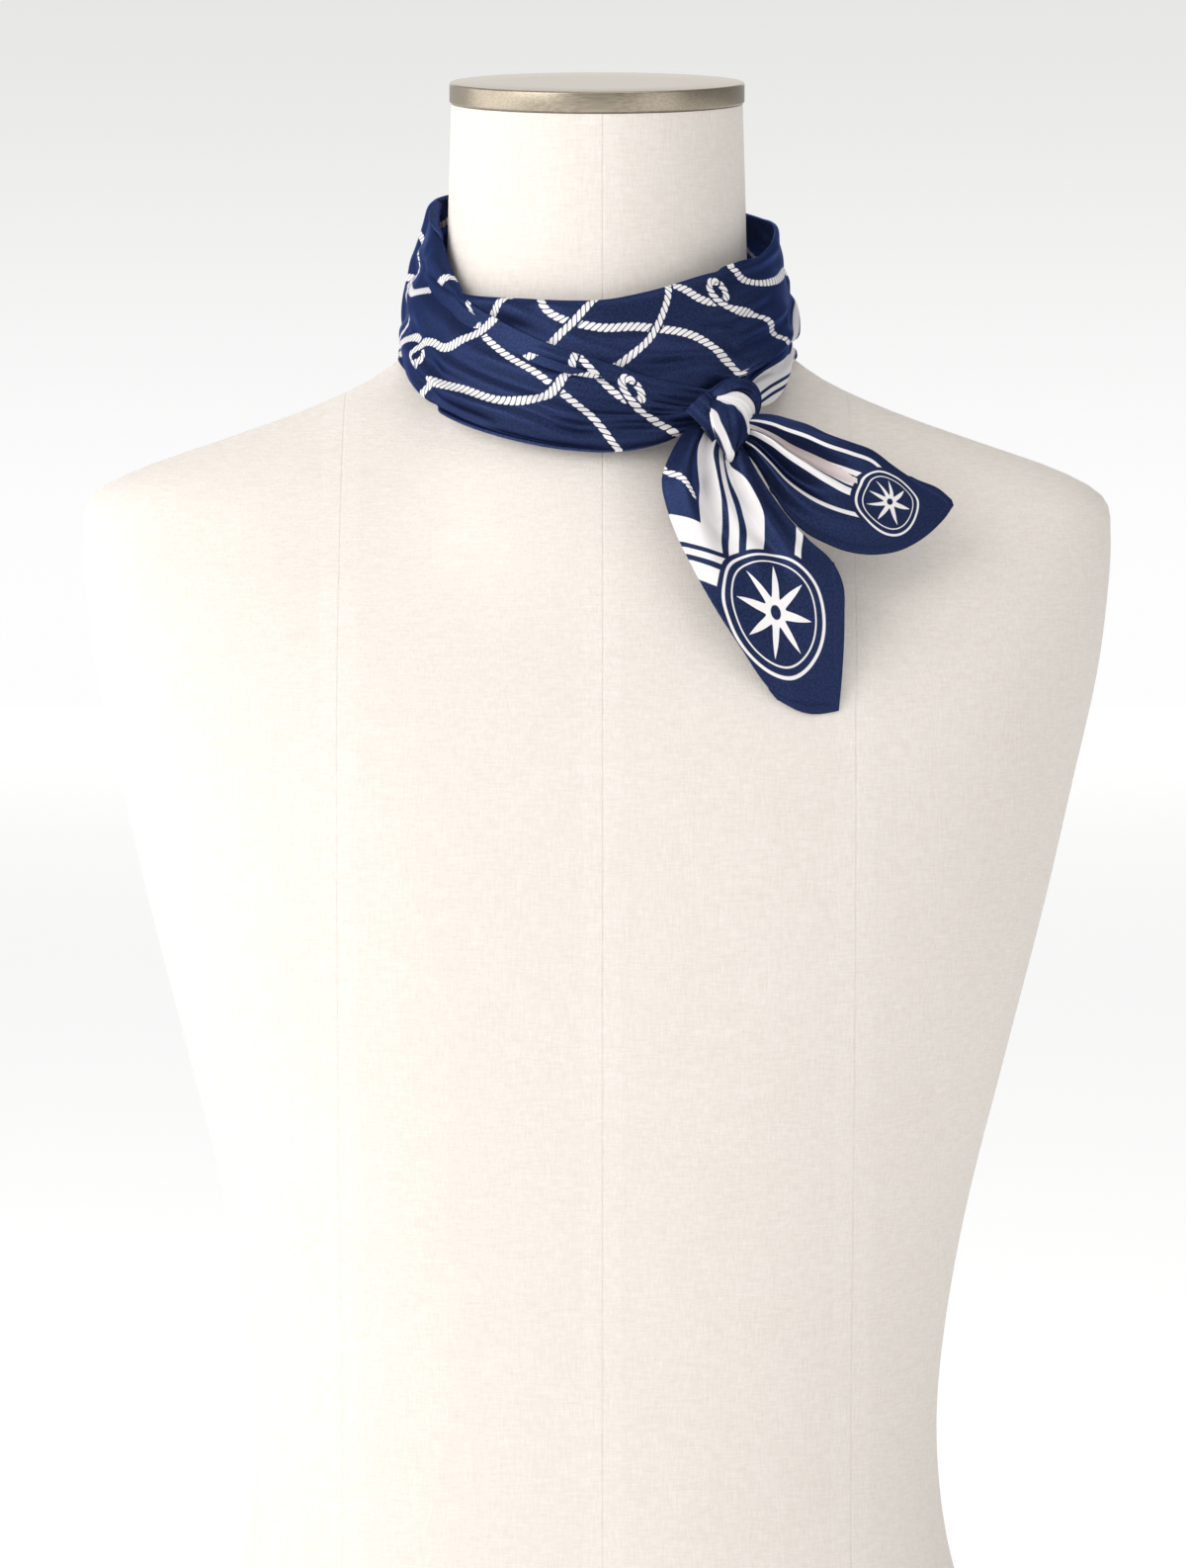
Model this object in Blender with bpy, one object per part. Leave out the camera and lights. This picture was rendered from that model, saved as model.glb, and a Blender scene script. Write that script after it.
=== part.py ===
"""Silk square scarf, folded into a band, wound twice round a limbless dress form and knotted.

Every size below is in millimetres and becomes metres where a mesh is made. The form faces -Y,
+Z is up, and the origin lies under the neck, in the flat face that the form stands on. An
angle round the neck is measured from the front (0), through the form's left side (+90), which
lies at +X, to the nape (180).
"""
import math

import bmesh
import bpy
from mathutils import Vector

MM = 0.001

# ---------------------------------------------------------------- driving sizes
CLOTH_WALL = 2.2          # the folded band: several layers of silk
TAIL_WALL = 1.6           # a free corner: two layers of silk
SEAM_GAP = 0.3            # between pieces that touch
FORM_GAP = 0.5            # between the cloth and the form
BELLY_SAG = 0.35          # how far a wrap's belly hangs below its middle
SHARP_ANGLE = math.radians(40)  # edges sharper than this are shaded as edges

NECK_TOP = 708.6          # height of the neck's cut, on its axis
NECK_TILT = math.radians(6.85)
TILT_FADES_AT = 610.0
CAP_RADIUS = 63.0
CAP_HEIGHT = 8.8
CAP_EDGE = 0.7
CAP_AROUND = 64

# The form: an upright column for the neck and chest, with a wide lens for the shoulders and
# body, blended where they meet. Half widths to the side, to the front and to the back.
FORM_SECTIONS = [
    # height, core_side, core_front, core_back, body_side, body_front, body_back, power
    (708.6, 62.2, 62.0, 61.0, 20.0, 10.0, 10.0, 2.0),
    (670.0, 63.4, 63.6, 62.6, 20.0, 10.0, 10.0, 2.0),
    (640.0, 64.2, 65.0, 65.0, 30.0, 12.0, 14.0, 2.0),
    (620.0, 65.6, 66.0, 68.5, 58.0, 15.0, 20.0, 2.0),
    (606.0, 67.0, 67.2, 73.0, 75.5, 18.0, 26.0, 2.0),
    (597.0, 68.6, 68.4, 76.5, 87.0, 23.0, 32.0, 2.1),
    (588.0, 71.0, 70.0, 80.5, 102.0, 30.0, 39.0, 2.2),
    (576.0, 76.0, 73.5, 85.5, 130.0, 41.0, 49.0, 2.3),
    (564.0, 83.0, 79.0, 90.0, 164.0, 50.0, 58.0, 2.4),
    (552.0, 91.0, 85.0, 93.5, 198.0, 58.0, 66.0, 2.6),
    (541.0, 98.0, 90.5, 96.0, 216.5, 65.0, 73.0, 2.7),
    (525.0, 108.0, 97.0, 98.0, 219.8, 76.0, 82.0, 2.6),
    (500.0, 118.0, 100.0, 99.0, 218.6, 93.0, 93.0, 2.5),
    (465.0, 118.0, 97.0, 97.0, 214.0, 111.0, 103.0, 2.4),
    (420.0, 110.0, 92.0, 92.0, 204.0, 121.0, 108.0, 2.35),
    (365.0, 100.0, 86.0, 86.0, 191.5, 124.5, 105.5, 2.3),
    (300.0, 90.0, 80.0, 80.0, 175.0, 121.0, 98.5, 2.25),
    (235.0, 80.0, 74.0, 74.0, 159.0, 112.0, 92.5, 2.2),
    (180.0, 80.0, 72.0, 72.0, 149.6, 105.5, 92.0, 2.2),
    (138.0, 80.0, 72.0, 72.0, 146.8, 104.0, 94.5, 2.2),
    (95.0, 80.0, 72.0, 72.0, 150.8, 107.0, 101.0, 2.2),
    (50.0, 80.0, 72.0, 72.0, 162.0, 112.5, 108.5, 2.2),
    (14.0, 80.0, 72.0, 72.0, 169.0, 115.5, 112.0, 2.2),
    (4.0, 80.0, 72.0, 72.0, 167.5, 114.0, 110.5, 2.2),
    (0.0, 80.0, 72.0, 72.0, 163.0, 109.5, 106.0, 2.2),
]
FORM_BLEND = 10.0
FORM_AROUND = 56
FORM_SIDE_CROWD = 1.6     # crowds the ring's points towards the shoulders
FORM_STEPS = [            # heights from the first to the second in this many steps
    (708.6, 640.0, 4),
    (640.0, 612.0, 4),
    (612.0, 541.0, 13),
    (541.0, 500.0, 4),
    (500.0, 14.0, 16),
    (14.0, 4.0, 1),
    (4.0, 0.0, 1),
]

# The band's three stretches, in the order of winding. The radii are those of the outer face.
INNER_WRAP = [
    # angle, top_height, top_radius, bottom_height, bottom_radius, belly
    (34.0, 585.5, 94.5, 576.5, 97.0, 2.4),
    (40.0, 590.0, 90.0, 577.5, 94.0, 2.6),
    (47.0, 597.0, 84.0, 579.0, 91.0, 2.6),
    (54.0, 602.0, 80.5, 580.5, 89.5, 2.8),
    (62.0, 606.5, 77.5, 585.0, 87.5, 3.0),
    (71.0, 612.0, 75.5, 590.5, 84.5, 3.5),
    (81.0, 619.0, 73.0, 597.5, 81.5, 4.5),
    (92.0, 627.0, 70.5, 603.0, 80.0, 5.5),
    (110.0, 635.0, 69.0, 606.0, 80.0, 6.0),
    (135.0, 643.0, 68.0, 608.0, 80.5, 6.0),
    (160.0, 649.0, 67.5, 609.0, 81.5, 6.0),
    (180.0, 652.0, 67.5, 609.0, 82.0, 6.0),
    (205.0, 653.0, 67.5, 609.0, 81.0, 5.0),
    (232.0, 651.0, 67.5, 610.0, 78.0, 3.0),
    (258.0, 646.0, 68.0, 613.0, 76.0, 2.0),
]
FRONT_WRAP = [
    # angle, top_height, top_radius, bottom_height, bottom_radius, belly
    (-101.5, 646.0, 68.0, 613.0, 76.0, 2.0),
    (-75.0, 636.0, 68.0, 600.0, 76.5, 2.5),
    (-50.0, 627.2, 69.2, 586.0, 77.0, 3.0),
    (-27.0, 624.8, 69.8, 579.0, 78.0, 3.5),
    (0.0, 623.8, 70.2, 575.0, 79.0, 4.0),
    (16.0, 627.4, 70.4, 577.0, 81.0, 4.5),
    (34.0, 633.9, 70.6, 587.5, 84.0, 5.0),
    (50.0, 639.2, 70.8, 598.0, 83.0, 5.0),
    (62.0, 643.2, 71.0, 604.0, 81.0, 5.0),
    (79.0, 650.5, 73.0, 611.5, 78.5, 4.0),
    (90.0, 655.0, 74.0, 621.0, 78.0, 2.5),
    (110.0, 659.5, 71.0, 628.0, 77.5, 2.5),
    (135.0, 667.0, 69.5, 630.0, 79.0, 3.0),
    (160.0, 675.0, 69.0, 631.0, 81.0, 4.0),
    (179.8, 680.0, 69.0, 631.5, 82.0, 4.5),
]
OUTER_WRAP = [
    # angle, top_height, top_radius, bottom_height, bottom_radius, belly
    (-179.8, 680.0, 69.0, 631.5, 82.0, 4.5),
    (-155.0, 678.0, 68.0, 628.0, 82.0, 5.0),
    (-125.0, 672.5, 67.0, 618.0, 80.5, 6.5),
    (-95.0, 665.5, 66.6, 607.0, 79.0, 7.5),
    (-84.0, 657.0, 66.8, 599.0, 80.5, 8.0),
    (-72.0, 646.8, 67.4, 590.0, 82.0, 8.0),
    (-62.0, 636.5, 68.8, 584.5, 83.0, 7.0),
    (-49.0, 626.7, 71.4, 578.5, 84.5, 6.5),
    (-35.0, 618.0, 73.8, 571.5, 85.0, 6.0),
    (-20.0, 609.2, 76.4, 566.0, 85.2, 5.5),
    (-8.0, 602.6, 79.0, 563.0, 85.6, 5.0),
    (4.5, 597.2, 82.0, 562.0, 86.5, 4.5),
    (14.0, 592.6, 85.0, 564.0, 88.5, 4.0),
    (22.0, 589.2, 88.0, 568.0, 91.0, 3.4),
    (31.0, 586.0, 92.5, 573.0, 95.5, 2.8),
]
WRAP_STEP = 6.0           # degrees between the sections of a wrap
WRAP_POINTS = 8           # steps from the top edge to the bottom edge

# The knot: one strand comes down over its front, and a loop goes over its top to the right.
KNOT_ANGLE = math.radians(31)
KNOT_OUTWARDS = Vector((math.sin(KNOT_ANGLE), -math.cos(KNOT_ANGLE), 0))
KNOT_SIDEWAYS = Vector((math.cos(KNOT_ANGLE), math.sin(KNOT_ANGLE), 0))
KNOT_ROOM = 0.4           # the gap that the knot's facets keep to the pieces cut round it
KNOT_STRAND = [
    # x, y, z, half_width, half_thickness
    (45.0, -90.5, 583.5, 5.0, 2.6),
    (47.5, -94.5, 579.5, 7.4, 3.2),
    (50.5, -97.5, 573.5, 8.8, 3.6),
    (53.0, -97.5, 566.5, 8.2, 3.6),
    (54.8, -94.8, 560.6, 5.8, 3.2),
    (55.4, -90.5, 557.6, 4.0, 2.6),
]
KNOT_LOOP = [
    # degrees up from the right, radius of the bend, half_width, half_thickness
    (175.0, 9.6, 4.2, 3.4),
    (130.0, 9.4, 5.0, 3.8),
    (90.0, 9.4, 5.4, 4.2),
    (50.0, 9.8, 5.4, 4.2),
    (10.0, 9.4, 5.2, 4.0),
    (-30.0, 8.2, 4.8, 3.6),
    (-60.0, 7.2, 4.2, 3.2),
]
KNOT_CENTRE = (55.0, -86.0, 578.6)
KNOT_CORE_CENTRE = (53.6, -85.0, 572.0)
KNOT_CORE_HALVES = (9.5, 6.4, 12.0)  # along the band, outwards from the neck, upwards
STRAND_AROUND = 12
STRAND_STEPS = 3          # sections from one row to the next
CORE_LEVELS = 9

# The free corners, from the tip to the knot. Each row runs from the hemmed edge to the fold.
TAIL_LOWER = [
    # hem_x, hem_y, hem_z, fold_x, fold_y, fold_z, dip, flute
    (99.6, -107.0, 454.4, 74.6, -112.0, 458.6, 3.0, 0.2),
    (100.6, -109.0, 466.0, 67.4, -115.0, 467.6, 3.0, 0.5),
    (101.4, -111.0, 480.0, 59.6, -117.0, 479.6, 2.0, 1.0),
    (101.6, -113.0, 493.6, 51.8, -118.0, 491.6, 1.0, 1.8),
    (101.0, -114.0, 506.4, 44.6, -118.0, 503.6, 0.0, 2.8),
    (95.8, -114.0, 517.0, 38.2, -117.0, 515.4, 0.0, 3.8),
    (86.4, -112.0, 525.6, 32.4, -115.0, 526.6, 0.0, 4.8),
    (78.0, -109.0, 535.0, 27.8, -111.0, 538.4, 0.0, 5.4),
    (70.6, -106.0, 545.4, 26.0, -106.0, 549.6, 0.0, 5.4),
    (64.4, -101.0, 555.6, 30.6, -99.0, 561.4, 0.0, 4.2),
    (61.0, -95.0, 562.0, 37.0, -89.5, 571.4, 0.0, 2.4),
]
TAIL_RIGHT = [
    # hem_x, hem_y, hem_z, fold_x, fold_y, fold_z, dip, flute
    (145.8, -84.2, 535.6, 144.6, -84.0, 543.6, 0.0, 0.0),
    (141.8, -88.0, 531.0, 139.6, -87.0, 547.0, 0.0, 0.6),
    (134.8, -93.0, 525.0, 131.6, -90.0, 549.4, 0.0, 1.6),
    (124.8, -98.0, 520.0, 122.6, -93.0, 555.2, 0.0, 2.6),
    (113.6, -102.0, 518.4, 113.8, -95.0, 561.6, 0.0, 3.8),
    (103.0, -105.0, 519.8, 104.8, -96.0, 565.2, 0.0, 4.8),
    (93.6, -107.0, 523.4, 95.6, -96.0, 568.6, 0.0, 5.6),
    (85.2, -107.0, 528.0, 87.4, -94.0, 572.6, 0.0, 6.0),
    (77.8, -105.0, 535.4, 79.8, -92.0, 575.0, 0.0, 5.2),
    (71.2, -101.0, 545.6, 73.0, -89.5, 576.6, 0.0, 3.2),
    (65.6, -96.0, 555.0, 66.0, -87.0, 576.6, 0.0, 1.6),
    (60.0, -91.0, 562.0, 59.6, -85.5, 575.0, 0.0, 0.6),
]
TAIL_LOWER_FOLDS = [
    # share of the way from hem to fold, height of the fold's ridge
    (0.00, 0.0),
    (0.18, 0.9),
    (0.36, 0.1),
    (0.52, 1.0),
    (0.68, 0.0),
    (0.86, 1.5),
    (1.00, 0.2),
]
TAIL_RIGHT_FOLDS = [
    # share of the way from hem to fold, height of the fold's ridge
    (0.00, 0.0),
    (0.22, 0.7),
    (0.38, 0.0),
    (0.55, 1.1),
    (0.74, -0.7),
    (0.90, 1.0),
    (1.00, 0.2),
]
TAIL_ALONG = 20
TAIL_ACROSS = 20

NAVY = (0.010, 0.026, 0.115, 1.0)
LINEN = (0.78, 0.72, 0.63, 1.0)
STEEL = (0.56, 0.55, 0.53, 1.0)


# ---------------------------------------------------------------- tables and meshes
def read_table(table, place):
    """The row at a place in the first column, on a smooth curve through the rows."""
    rows = table if table[0][0] <= table[-1][0] else table[::-1]
    place = min(max(place, rows[0][0]), rows[-1][0])
    last = len(rows) - 1
    at = max(i for i in range(last) if rows[i][0] <= place)
    before, here, after, beyond = (rows[min(max(at + k, 0), last)] for k in (-1, 0, 1, 2))
    width = after[0] - here[0]
    t = (place - here[0]) / width
    values = []
    for column in range(1, len(here)):
        slope_here = (after[column] - before[column]) / (after[0] - before[0])
        slope_after = (beyond[column] - here[column]) / (beyond[0] - here[0])
        values.append(
            (2 * t**3 - 3 * t**2 + 1) * here[column]
            + (t**3 - 2 * t**2 + t) * width * slope_here
            + (3 * t**2 - 2 * t**3) * after[column]
            + (t**3 - t**2) * width * slope_after
        )
    return values


def numbered(rows):
    """The rows with their own number as first column."""
    return [(number, *row) for number, row in enumerate(rows)]


def material(name, colour, roughness, metallic=0.0):
    made = bpy.data.materials.new(name)
    made.use_nodes = True
    shader = made.node_tree.nodes["Principled BSDF"]
    shader.inputs["Base Color"].default_value = colour
    shader.inputs["Roughness"].default_value = roughness
    shader.inputs["Metallic"].default_value = metallic
    return made


def solid(name, points, faces, finish):
    """An object from points in millimetres, its faces turned outwards and shaded smooth."""
    mesh = bpy.data.meshes.new(name)
    mesh.from_pydata([Vector(point) * MM for point in points], [], faces)
    shape = bmesh.new()
    shape.from_mesh(mesh)
    bmesh.ops.recalc_face_normals(shape, faces=shape.faces)
    shape.to_mesh(mesh)
    shape.free()
    mesh.materials.append(finish)
    mesh.shade_smooth()
    mesh.set_sharp_from_angle(angle=SHARP_ANGLE)
    made = bpy.data.objects.new(name, mesh)
    bpy.context.scene.collection.objects.link(made)
    return made


def closed_loft(name, rings, finish):
    """A solid through closed rings of points, with a fan of faces over each end."""
    around = len(rings[0])
    points = [point for ring in rings for point in ring]
    faces = []
    for level in range(len(rings) - 1):
        for k in range(around):
            low, high = level * around, (level + 1) * around
            faces.append((low + k, low + (k + 1) % around, high + (k + 1) % around, high + k))
    for first, ring in ((0, rings[0]), ((len(rings) - 1) * around, rings[-1])):
        middle = sum((Vector(point) for point in ring), Vector()) / around
        points.append(middle)
        faces += [(len(points) - 1, first + k, first + (k + 1) % around) for k in range(around)]
    return solid(name, points, faces, finish)


def wall(name, outer, inner, finish):
    """A closed wall between two grids of points of the same size."""
    rows, columns = len(outer), len(outer[0])
    points = [point for row in outer for point in row] + [point for row in inner for point in row]
    back = rows * columns

    def spot(i, j):
        return i * columns + j

    faces = []
    for i in range(rows - 1):
        for j in range(columns - 1):
            quad = (spot(i, j), spot(i + 1, j), spot(i + 1, j + 1), spot(i, j + 1))
            faces.append(quad)
            faces.append(tuple(back + corner for corner in reversed(quad)))
    rim = (
        [spot(i, 0) for i in range(rows)]
        + [spot(rows - 1, j) for j in range(1, columns)]
        + [spot(i, columns - 1) for i in range(rows - 2, -1, -1)]
        + [spot(0, j) for j in range(columns - 2, 0, -1)]
    )
    for here, after in zip(rim, rim[1:] + rim[:1]):
        faces.append((here, after, back + after, back + here))
    return solid(name, points, faces, finish)


# ---------------------------------------------------------------- dress form
def lens_radius(angle, side, front, back, power):
    """Distance from the axis to a superellipse whose depth differs in front and behind."""
    across = abs(math.sin(angle)) / side
    along = abs(math.cos(angle)) / (front if math.cos(angle) > 0 else back)
    return (across**power + along**power) ** (-1 / power)


def form_radius(angle, height):
    """Distance from the neck's axis to the form, at an angle in radians and a height."""
    core_side, core_front, core_back, side, front, back, power = read_table(FORM_SECTIONS, height)
    core = lens_radius(angle, core_side, core_front, core_back, 2)
    body = lens_radius(angle, side, front, back, power)
    return (core**FORM_BLEND + body**FORM_BLEND) ** (1 / FORM_BLEND)


def form_ring(height):
    """A ring of the form, tilted near the neck's top."""
    fade = min(max((height - TILT_FADES_AT) / (NECK_TOP - TILT_FADES_AT), 0.0), 1.0)
    slope = math.tan(NECK_TILT * fade)
    ring = []
    for k in range(FORM_AROUND):
        turn = 2 * math.pi * k / FORM_AROUND
        angle = math.atan2(FORM_SIDE_CROWD * math.sin(turn), math.cos(turn))
        radius = form_radius(angle, height)
        x, y = radius * math.sin(angle), -radius * math.cos(angle)
        ring.append((x, y, height + y * slope))
    return ring


def make_form(finish):
    heights = [FORM_STEPS[0][0]]
    for top, bottom, steps in FORM_STEPS:
        heights += [top + (bottom - top) * (k + 1) / steps for k in range(steps)]
    return closed_loft("form_torso", [form_ring(height) for height in heights], finish)


def make_cap(finish):
    """The steel disc on the neck, square to the neck's tilted cut."""
    up = Vector((0, -math.sin(NECK_TILT), math.cos(NECK_TILT)))
    ahead = Vector((0, -math.cos(NECK_TILT), -math.sin(NECK_TILT)))
    seat = Vector((0, 0, NECK_TOP)) + up * SEAM_GAP
    profile = [
        (CAP_RADIUS - CAP_EDGE, 0.0),
        (CAP_RADIUS, CAP_EDGE),
        (CAP_RADIUS, CAP_HEIGHT - CAP_EDGE),
        (CAP_RADIUS - CAP_EDGE, CAP_HEIGHT),
    ]
    rings = []
    for radius, rise in profile:
        turns = [2 * math.pi * k / CAP_AROUND for k in range(CAP_AROUND)]
        rings.append([
            seat + up * rise + (ahead * math.cos(t) + Vector((1, 0, 0)) * math.sin(t)) * radius
            for t in turns
        ])
    return closed_loft("form_neck_cap", rings, finish)


# ---------------------------------------------------------------- the wound band
def belly_line(top, top_radius, bottom, bottom_radius, belly):
    """Points (radius, height) from the top edge to the bottom edge, swelling between them."""
    line = []
    for k in range(WRAP_POINTS + 1):
        turn = math.pi * k / WRAP_POINTS
        share = (1 - math.cos(turn)) / 2
        swell = belly * math.sin(turn) * (1 + BELLY_SAG * (2 * share - 1))
        line.append((
            top_radius + (bottom_radius - top_radius) * share + swell,
            top + (bottom - top) * share,
        ))
    return line


def wrap_profile(table, angle):
    """Outer and inner points of a wrap's section, before it is settled."""
    top, top_radius, bottom, bottom_radius, belly = read_table(table, angle)
    run, fall = bottom_radius - top_radius, bottom - top
    part = CLOTH_WALL / math.hypot(run, fall)
    outer = belly_line(top, top_radius, bottom, bottom_radius, belly)
    inner = belly_line(
        top + fall * part,
        top_radius + run * part,
        bottom - fall * part,
        bottom_radius - run * part,
        belly - CLOTH_WALL,
    )
    return outer, inner


def reach_of(profile, height):
    """The radius that a section's outer points reach at a height, or 0 clear of them."""
    reach = 0.0
    for (r0, z0), (r1, z1) in zip(profile, profile[1:]):
        if min(z0, z1) - 1.0 <= height <= max(z0, z1) + 1.0:
            share = min(max((height - z0) / (z1 - z0), 0.0), 1.0) if z1 != z0 else 0.5
            reach = max(reach, r0 + (r1 - r0) * share)
    return reach


def settled(table, degrees, under):
    """A wrap's section pushed out to lie clear of the form and of the wraps under it."""
    angle = math.radians(degrees)
    outer, inner = wrap_profile(table, degrees)
    below = []
    for lower_table, lower_under in under:
        for turn in (degrees, degrees + 360, degrees - 360):
            if lower_table[0][0] <= turn <= lower_table[-1][0]:
                below.append(settled(lower_table, turn, lower_under)[0])
    pushes = []
    for (outer_r, outer_z), (inner_r, inner_z) in zip(outer, inner):
        clear = max(form_radius(angle, height) for height in (inner_z, outer_z)) + FORM_GAP
        for profile in below:
            for height in (inner_z, outer_z, (inner_z + outer_z) / 2):
                clear = max(clear, reach_of(profile, height) + SEAM_GAP)
        pushes.append(max(0.0, clear - min(inner_r, outer_r)))
    spread = [max(pushes[max(k - 1, 0):k + 2]) for k in range(len(pushes))]
    return (
        [(radius + push, height) for (radius, height), push in zip(outer, spread)],
        [(radius + push, height) for (radius, height), push in zip(inner, spread)],
    )


def around_neck(radius, height, degrees):
    angle = math.radians(degrees)
    return (radius * math.sin(angle), -radius * math.cos(angle), height)


def make_wrap(name, table, under, finish):
    first, last = table[0][0], table[-1][0]
    steps = math.ceil((last - first) / WRAP_STEP)
    outer, inner = [], []
    for k in range(steps + 1):
        degrees = first + (last - first) * k / steps
        outer_section, inner_section = settled(table, degrees, under)
        outer.append([around_neck(r, z, degrees) for r, z in outer_section])
        inner.append([around_neck(r, z, degrees) for r, z in inner_section])
    return wall(name, outer, inner, finish)


# ---------------------------------------------------------------- the knot
def strand(name, centres, sizes, wide_way, finish, grow=0.0):
    """A flat strand along centres, each with its half width along wide_way and half thickness."""
    centres = [Vector(centre) for centre in centres]
    centres[0] += (centres[0] - centres[1]).normalized() * grow
    centres[-1] += (centres[-1] - centres[-2]).normalized() * grow
    rings = []
    for k, (half_width, half_thickness) in enumerate(sizes):
        after, before = centres[min(k + 1, len(centres) - 1)], centres[max(k - 1, 0)]
        along = (after - before).normalized()
        wide = (wide_way - along * wide_way.dot(along)).normalized()
        thick = wide.cross(along).normalized()
        turns = [2 * math.pi * j / STRAND_AROUND for j in range(STRAND_AROUND)]
        rings.append([
            centres[k]
            + wide * math.cos(turn) * (half_width + grow)
            + thick * math.sin(turn) * (half_thickness + grow)
            for turn in turns
        ])
    return closed_loft(name, rings, finish)


def front_strand(name, finish, grow=0.0):
    """The strand that comes down over the knot's front."""
    places = [k / STRAND_STEPS for k in range((len(KNOT_STRAND) - 1) * STRAND_STEPS + 1)]
    rows = [read_table(numbered(KNOT_STRAND), place) for place in places]
    centres = [row[:3] for row in rows]
    return strand(name, centres, [row[3:] for row in rows], KNOT_SIDEWAYS, finish, grow)


def upper_loop(name, finish, grow=0.0):
    """The loop that goes over the knot's top and down its right side."""
    first, last = KNOT_LOOP[0][0], KNOT_LOOP[-1][0]
    count = (len(KNOT_LOOP) - 1) * STRAND_STEPS
    centres, sizes = [], []
    for k in range(count + 1):
        degrees = first + (last - first) * k / count
        bend, half_width, half_thickness = read_table(KNOT_LOOP, degrees)
        turn = math.radians(degrees)
        up = Vector((0, 0, 1))
        round_bend = KNOT_SIDEWAYS * math.cos(turn) + up * math.sin(turn)
        centres.append(Vector(KNOT_CENTRE) + round_bend * bend)
        sizes.append((half_width, half_thickness))
    return strand(name, centres, sizes, KNOT_OUTWARDS, finish, grow)


def knot_core(name, finish, grow=0.0):
    """The squeezed cloth inside the knot."""
    rings = []
    for level in range(1, CORE_LEVELS):
        rise = math.pi * level / CORE_LEVELS
        ring = []
        for j in range(STRAND_AROUND):
            turn = 2 * math.pi * j / STRAND_AROUND
            along, out, up = (half + grow for half in KNOT_CORE_HALVES)
            ring.append(
                Vector(KNOT_CORE_CENTRE)
                + KNOT_SIDEWAYS * along * math.sin(rise) * math.cos(turn)
                + KNOT_OUTWARDS * out * math.sin(rise) * math.sin(turn)
                + Vector((0, 0, up)) * math.cos(rise)
            )
        rings.append(ring)
    return closed_loft(name, rings, finish)


def combine(piece, other, operation):
    """Adds or cuts another solid, which stays in the scene as a hidden guide."""
    other.hide_render = True
    other.display_type = "WIRE"
    step = piece.modifiers.new(operation.lower(), "BOOLEAN")
    step.operation = operation
    step.object = other
    step.solver = "EXACT"


def make_knot(finish):
    """The knot's two pieces. Returns guides that hold them and the gap round them."""
    front_strand("scarf_knot_strand", finish)
    loop = upper_loop("scarf_knot_loop", finish)
    combine(loop, knot_core("guide_core", finish), "UNION")
    rooms = [
        front_strand("guide_strand_room", finish, KNOT_ROOM),
        upper_loop("guide_loop_room", finish, KNOT_ROOM),
        knot_core("guide_core_room", finish, KNOT_ROOM),
    ]
    combine(loop, rooms[0], "DIFFERENCE")
    return rooms


# ---------------------------------------------------------------- the free corners
def tail_point(rows, folds, along, across):
    """A point of a corner's middle face: along from tip to knot, across from hem to fold."""
    *ends, dip, flute = read_table(numbered(rows), along * (len(rows) - 1))
    hem, fold = Vector(ends[:3]), Vector(ends[3:])
    ridge = read_table(folds, across)[0]
    point = hem.lerp(fold, across)
    point.y -= flute * ridge
    point.z -= dip * math.sin(math.pi * across)
    return point


def make_tail(name, rows, folds, finish):
    middle = [
        [tail_point(rows, folds, i / TAIL_ALONG, j / TAIL_ACROSS) for j in range(TAIL_ACROSS + 1)]
        for i in range(TAIL_ALONG + 1)
    ]
    front, back = [], []
    for i in range(TAIL_ALONG + 1):
        front_row, back_row = [], []
        for j in range(TAIL_ACROSS + 1):
            along = middle[min(i + 1, TAIL_ALONG)][j] - middle[max(i - 1, 0)][j]
            across = middle[i][min(j + 1, TAIL_ACROSS)] - middle[i][max(j - 1, 0)]
            out = along.cross(across).normalized() * (TAIL_WALL / 2)
            if out.y > 0:
                out = -out
            front_row.append(middle[i][j] + out)
            back_row.append(middle[i][j] - out)
        front.append(front_row)
        back.append(back_row)
    return wall(name, front, back, finish)


# ---------------------------------------------------------------- the whole part
def main():
    for old in list(bpy.data.objects):
        bpy.data.objects.remove(old, do_unlink=True)
    linen = material("linen", LINEN, 0.9)
    steel = material("brushed steel", STEEL, 0.3, 1.0)
    silk = material("navy silk", NAVY, 0.45)
    make_form(linen)
    make_cap(steel)
    inner = (INNER_WRAP, [])
    front = (FRONT_WRAP, [inner])
    make_wrap("scarf_front_wrap", *front, silk)
    meets_knot = [
        make_wrap("scarf_inner_wrap", *inner, silk),
        make_wrap("scarf_outer_wrap", OUTER_WRAP, [inner, front], silk),
        make_tail("scarf_tail_lower", TAIL_LOWER, TAIL_LOWER_FOLDS, silk),
        make_tail("scarf_tail_right", TAIL_RIGHT, TAIL_RIGHT_FOLDS, silk),
    ]
    rooms = make_knot(silk)
    for piece in meets_knot:
        for room in rooms:
            combine(piece, room, "DIFFERENCE")


main()
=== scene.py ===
# %% [markdown]
# # A silk square on a dress form
# The real object is one square of printed silk twill. It is folded on the bias into a band,
# wound twice round the neck of a linen dress form, and knotted a little to one side, so that two
# hemmed corners hang in front. The frame brings the solids at their real size; this lesson lays
# fine cloth on them. Sizes are in millimetres until a mesh is made, because a tailor thinks so.

# %% The frame
import math

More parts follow.
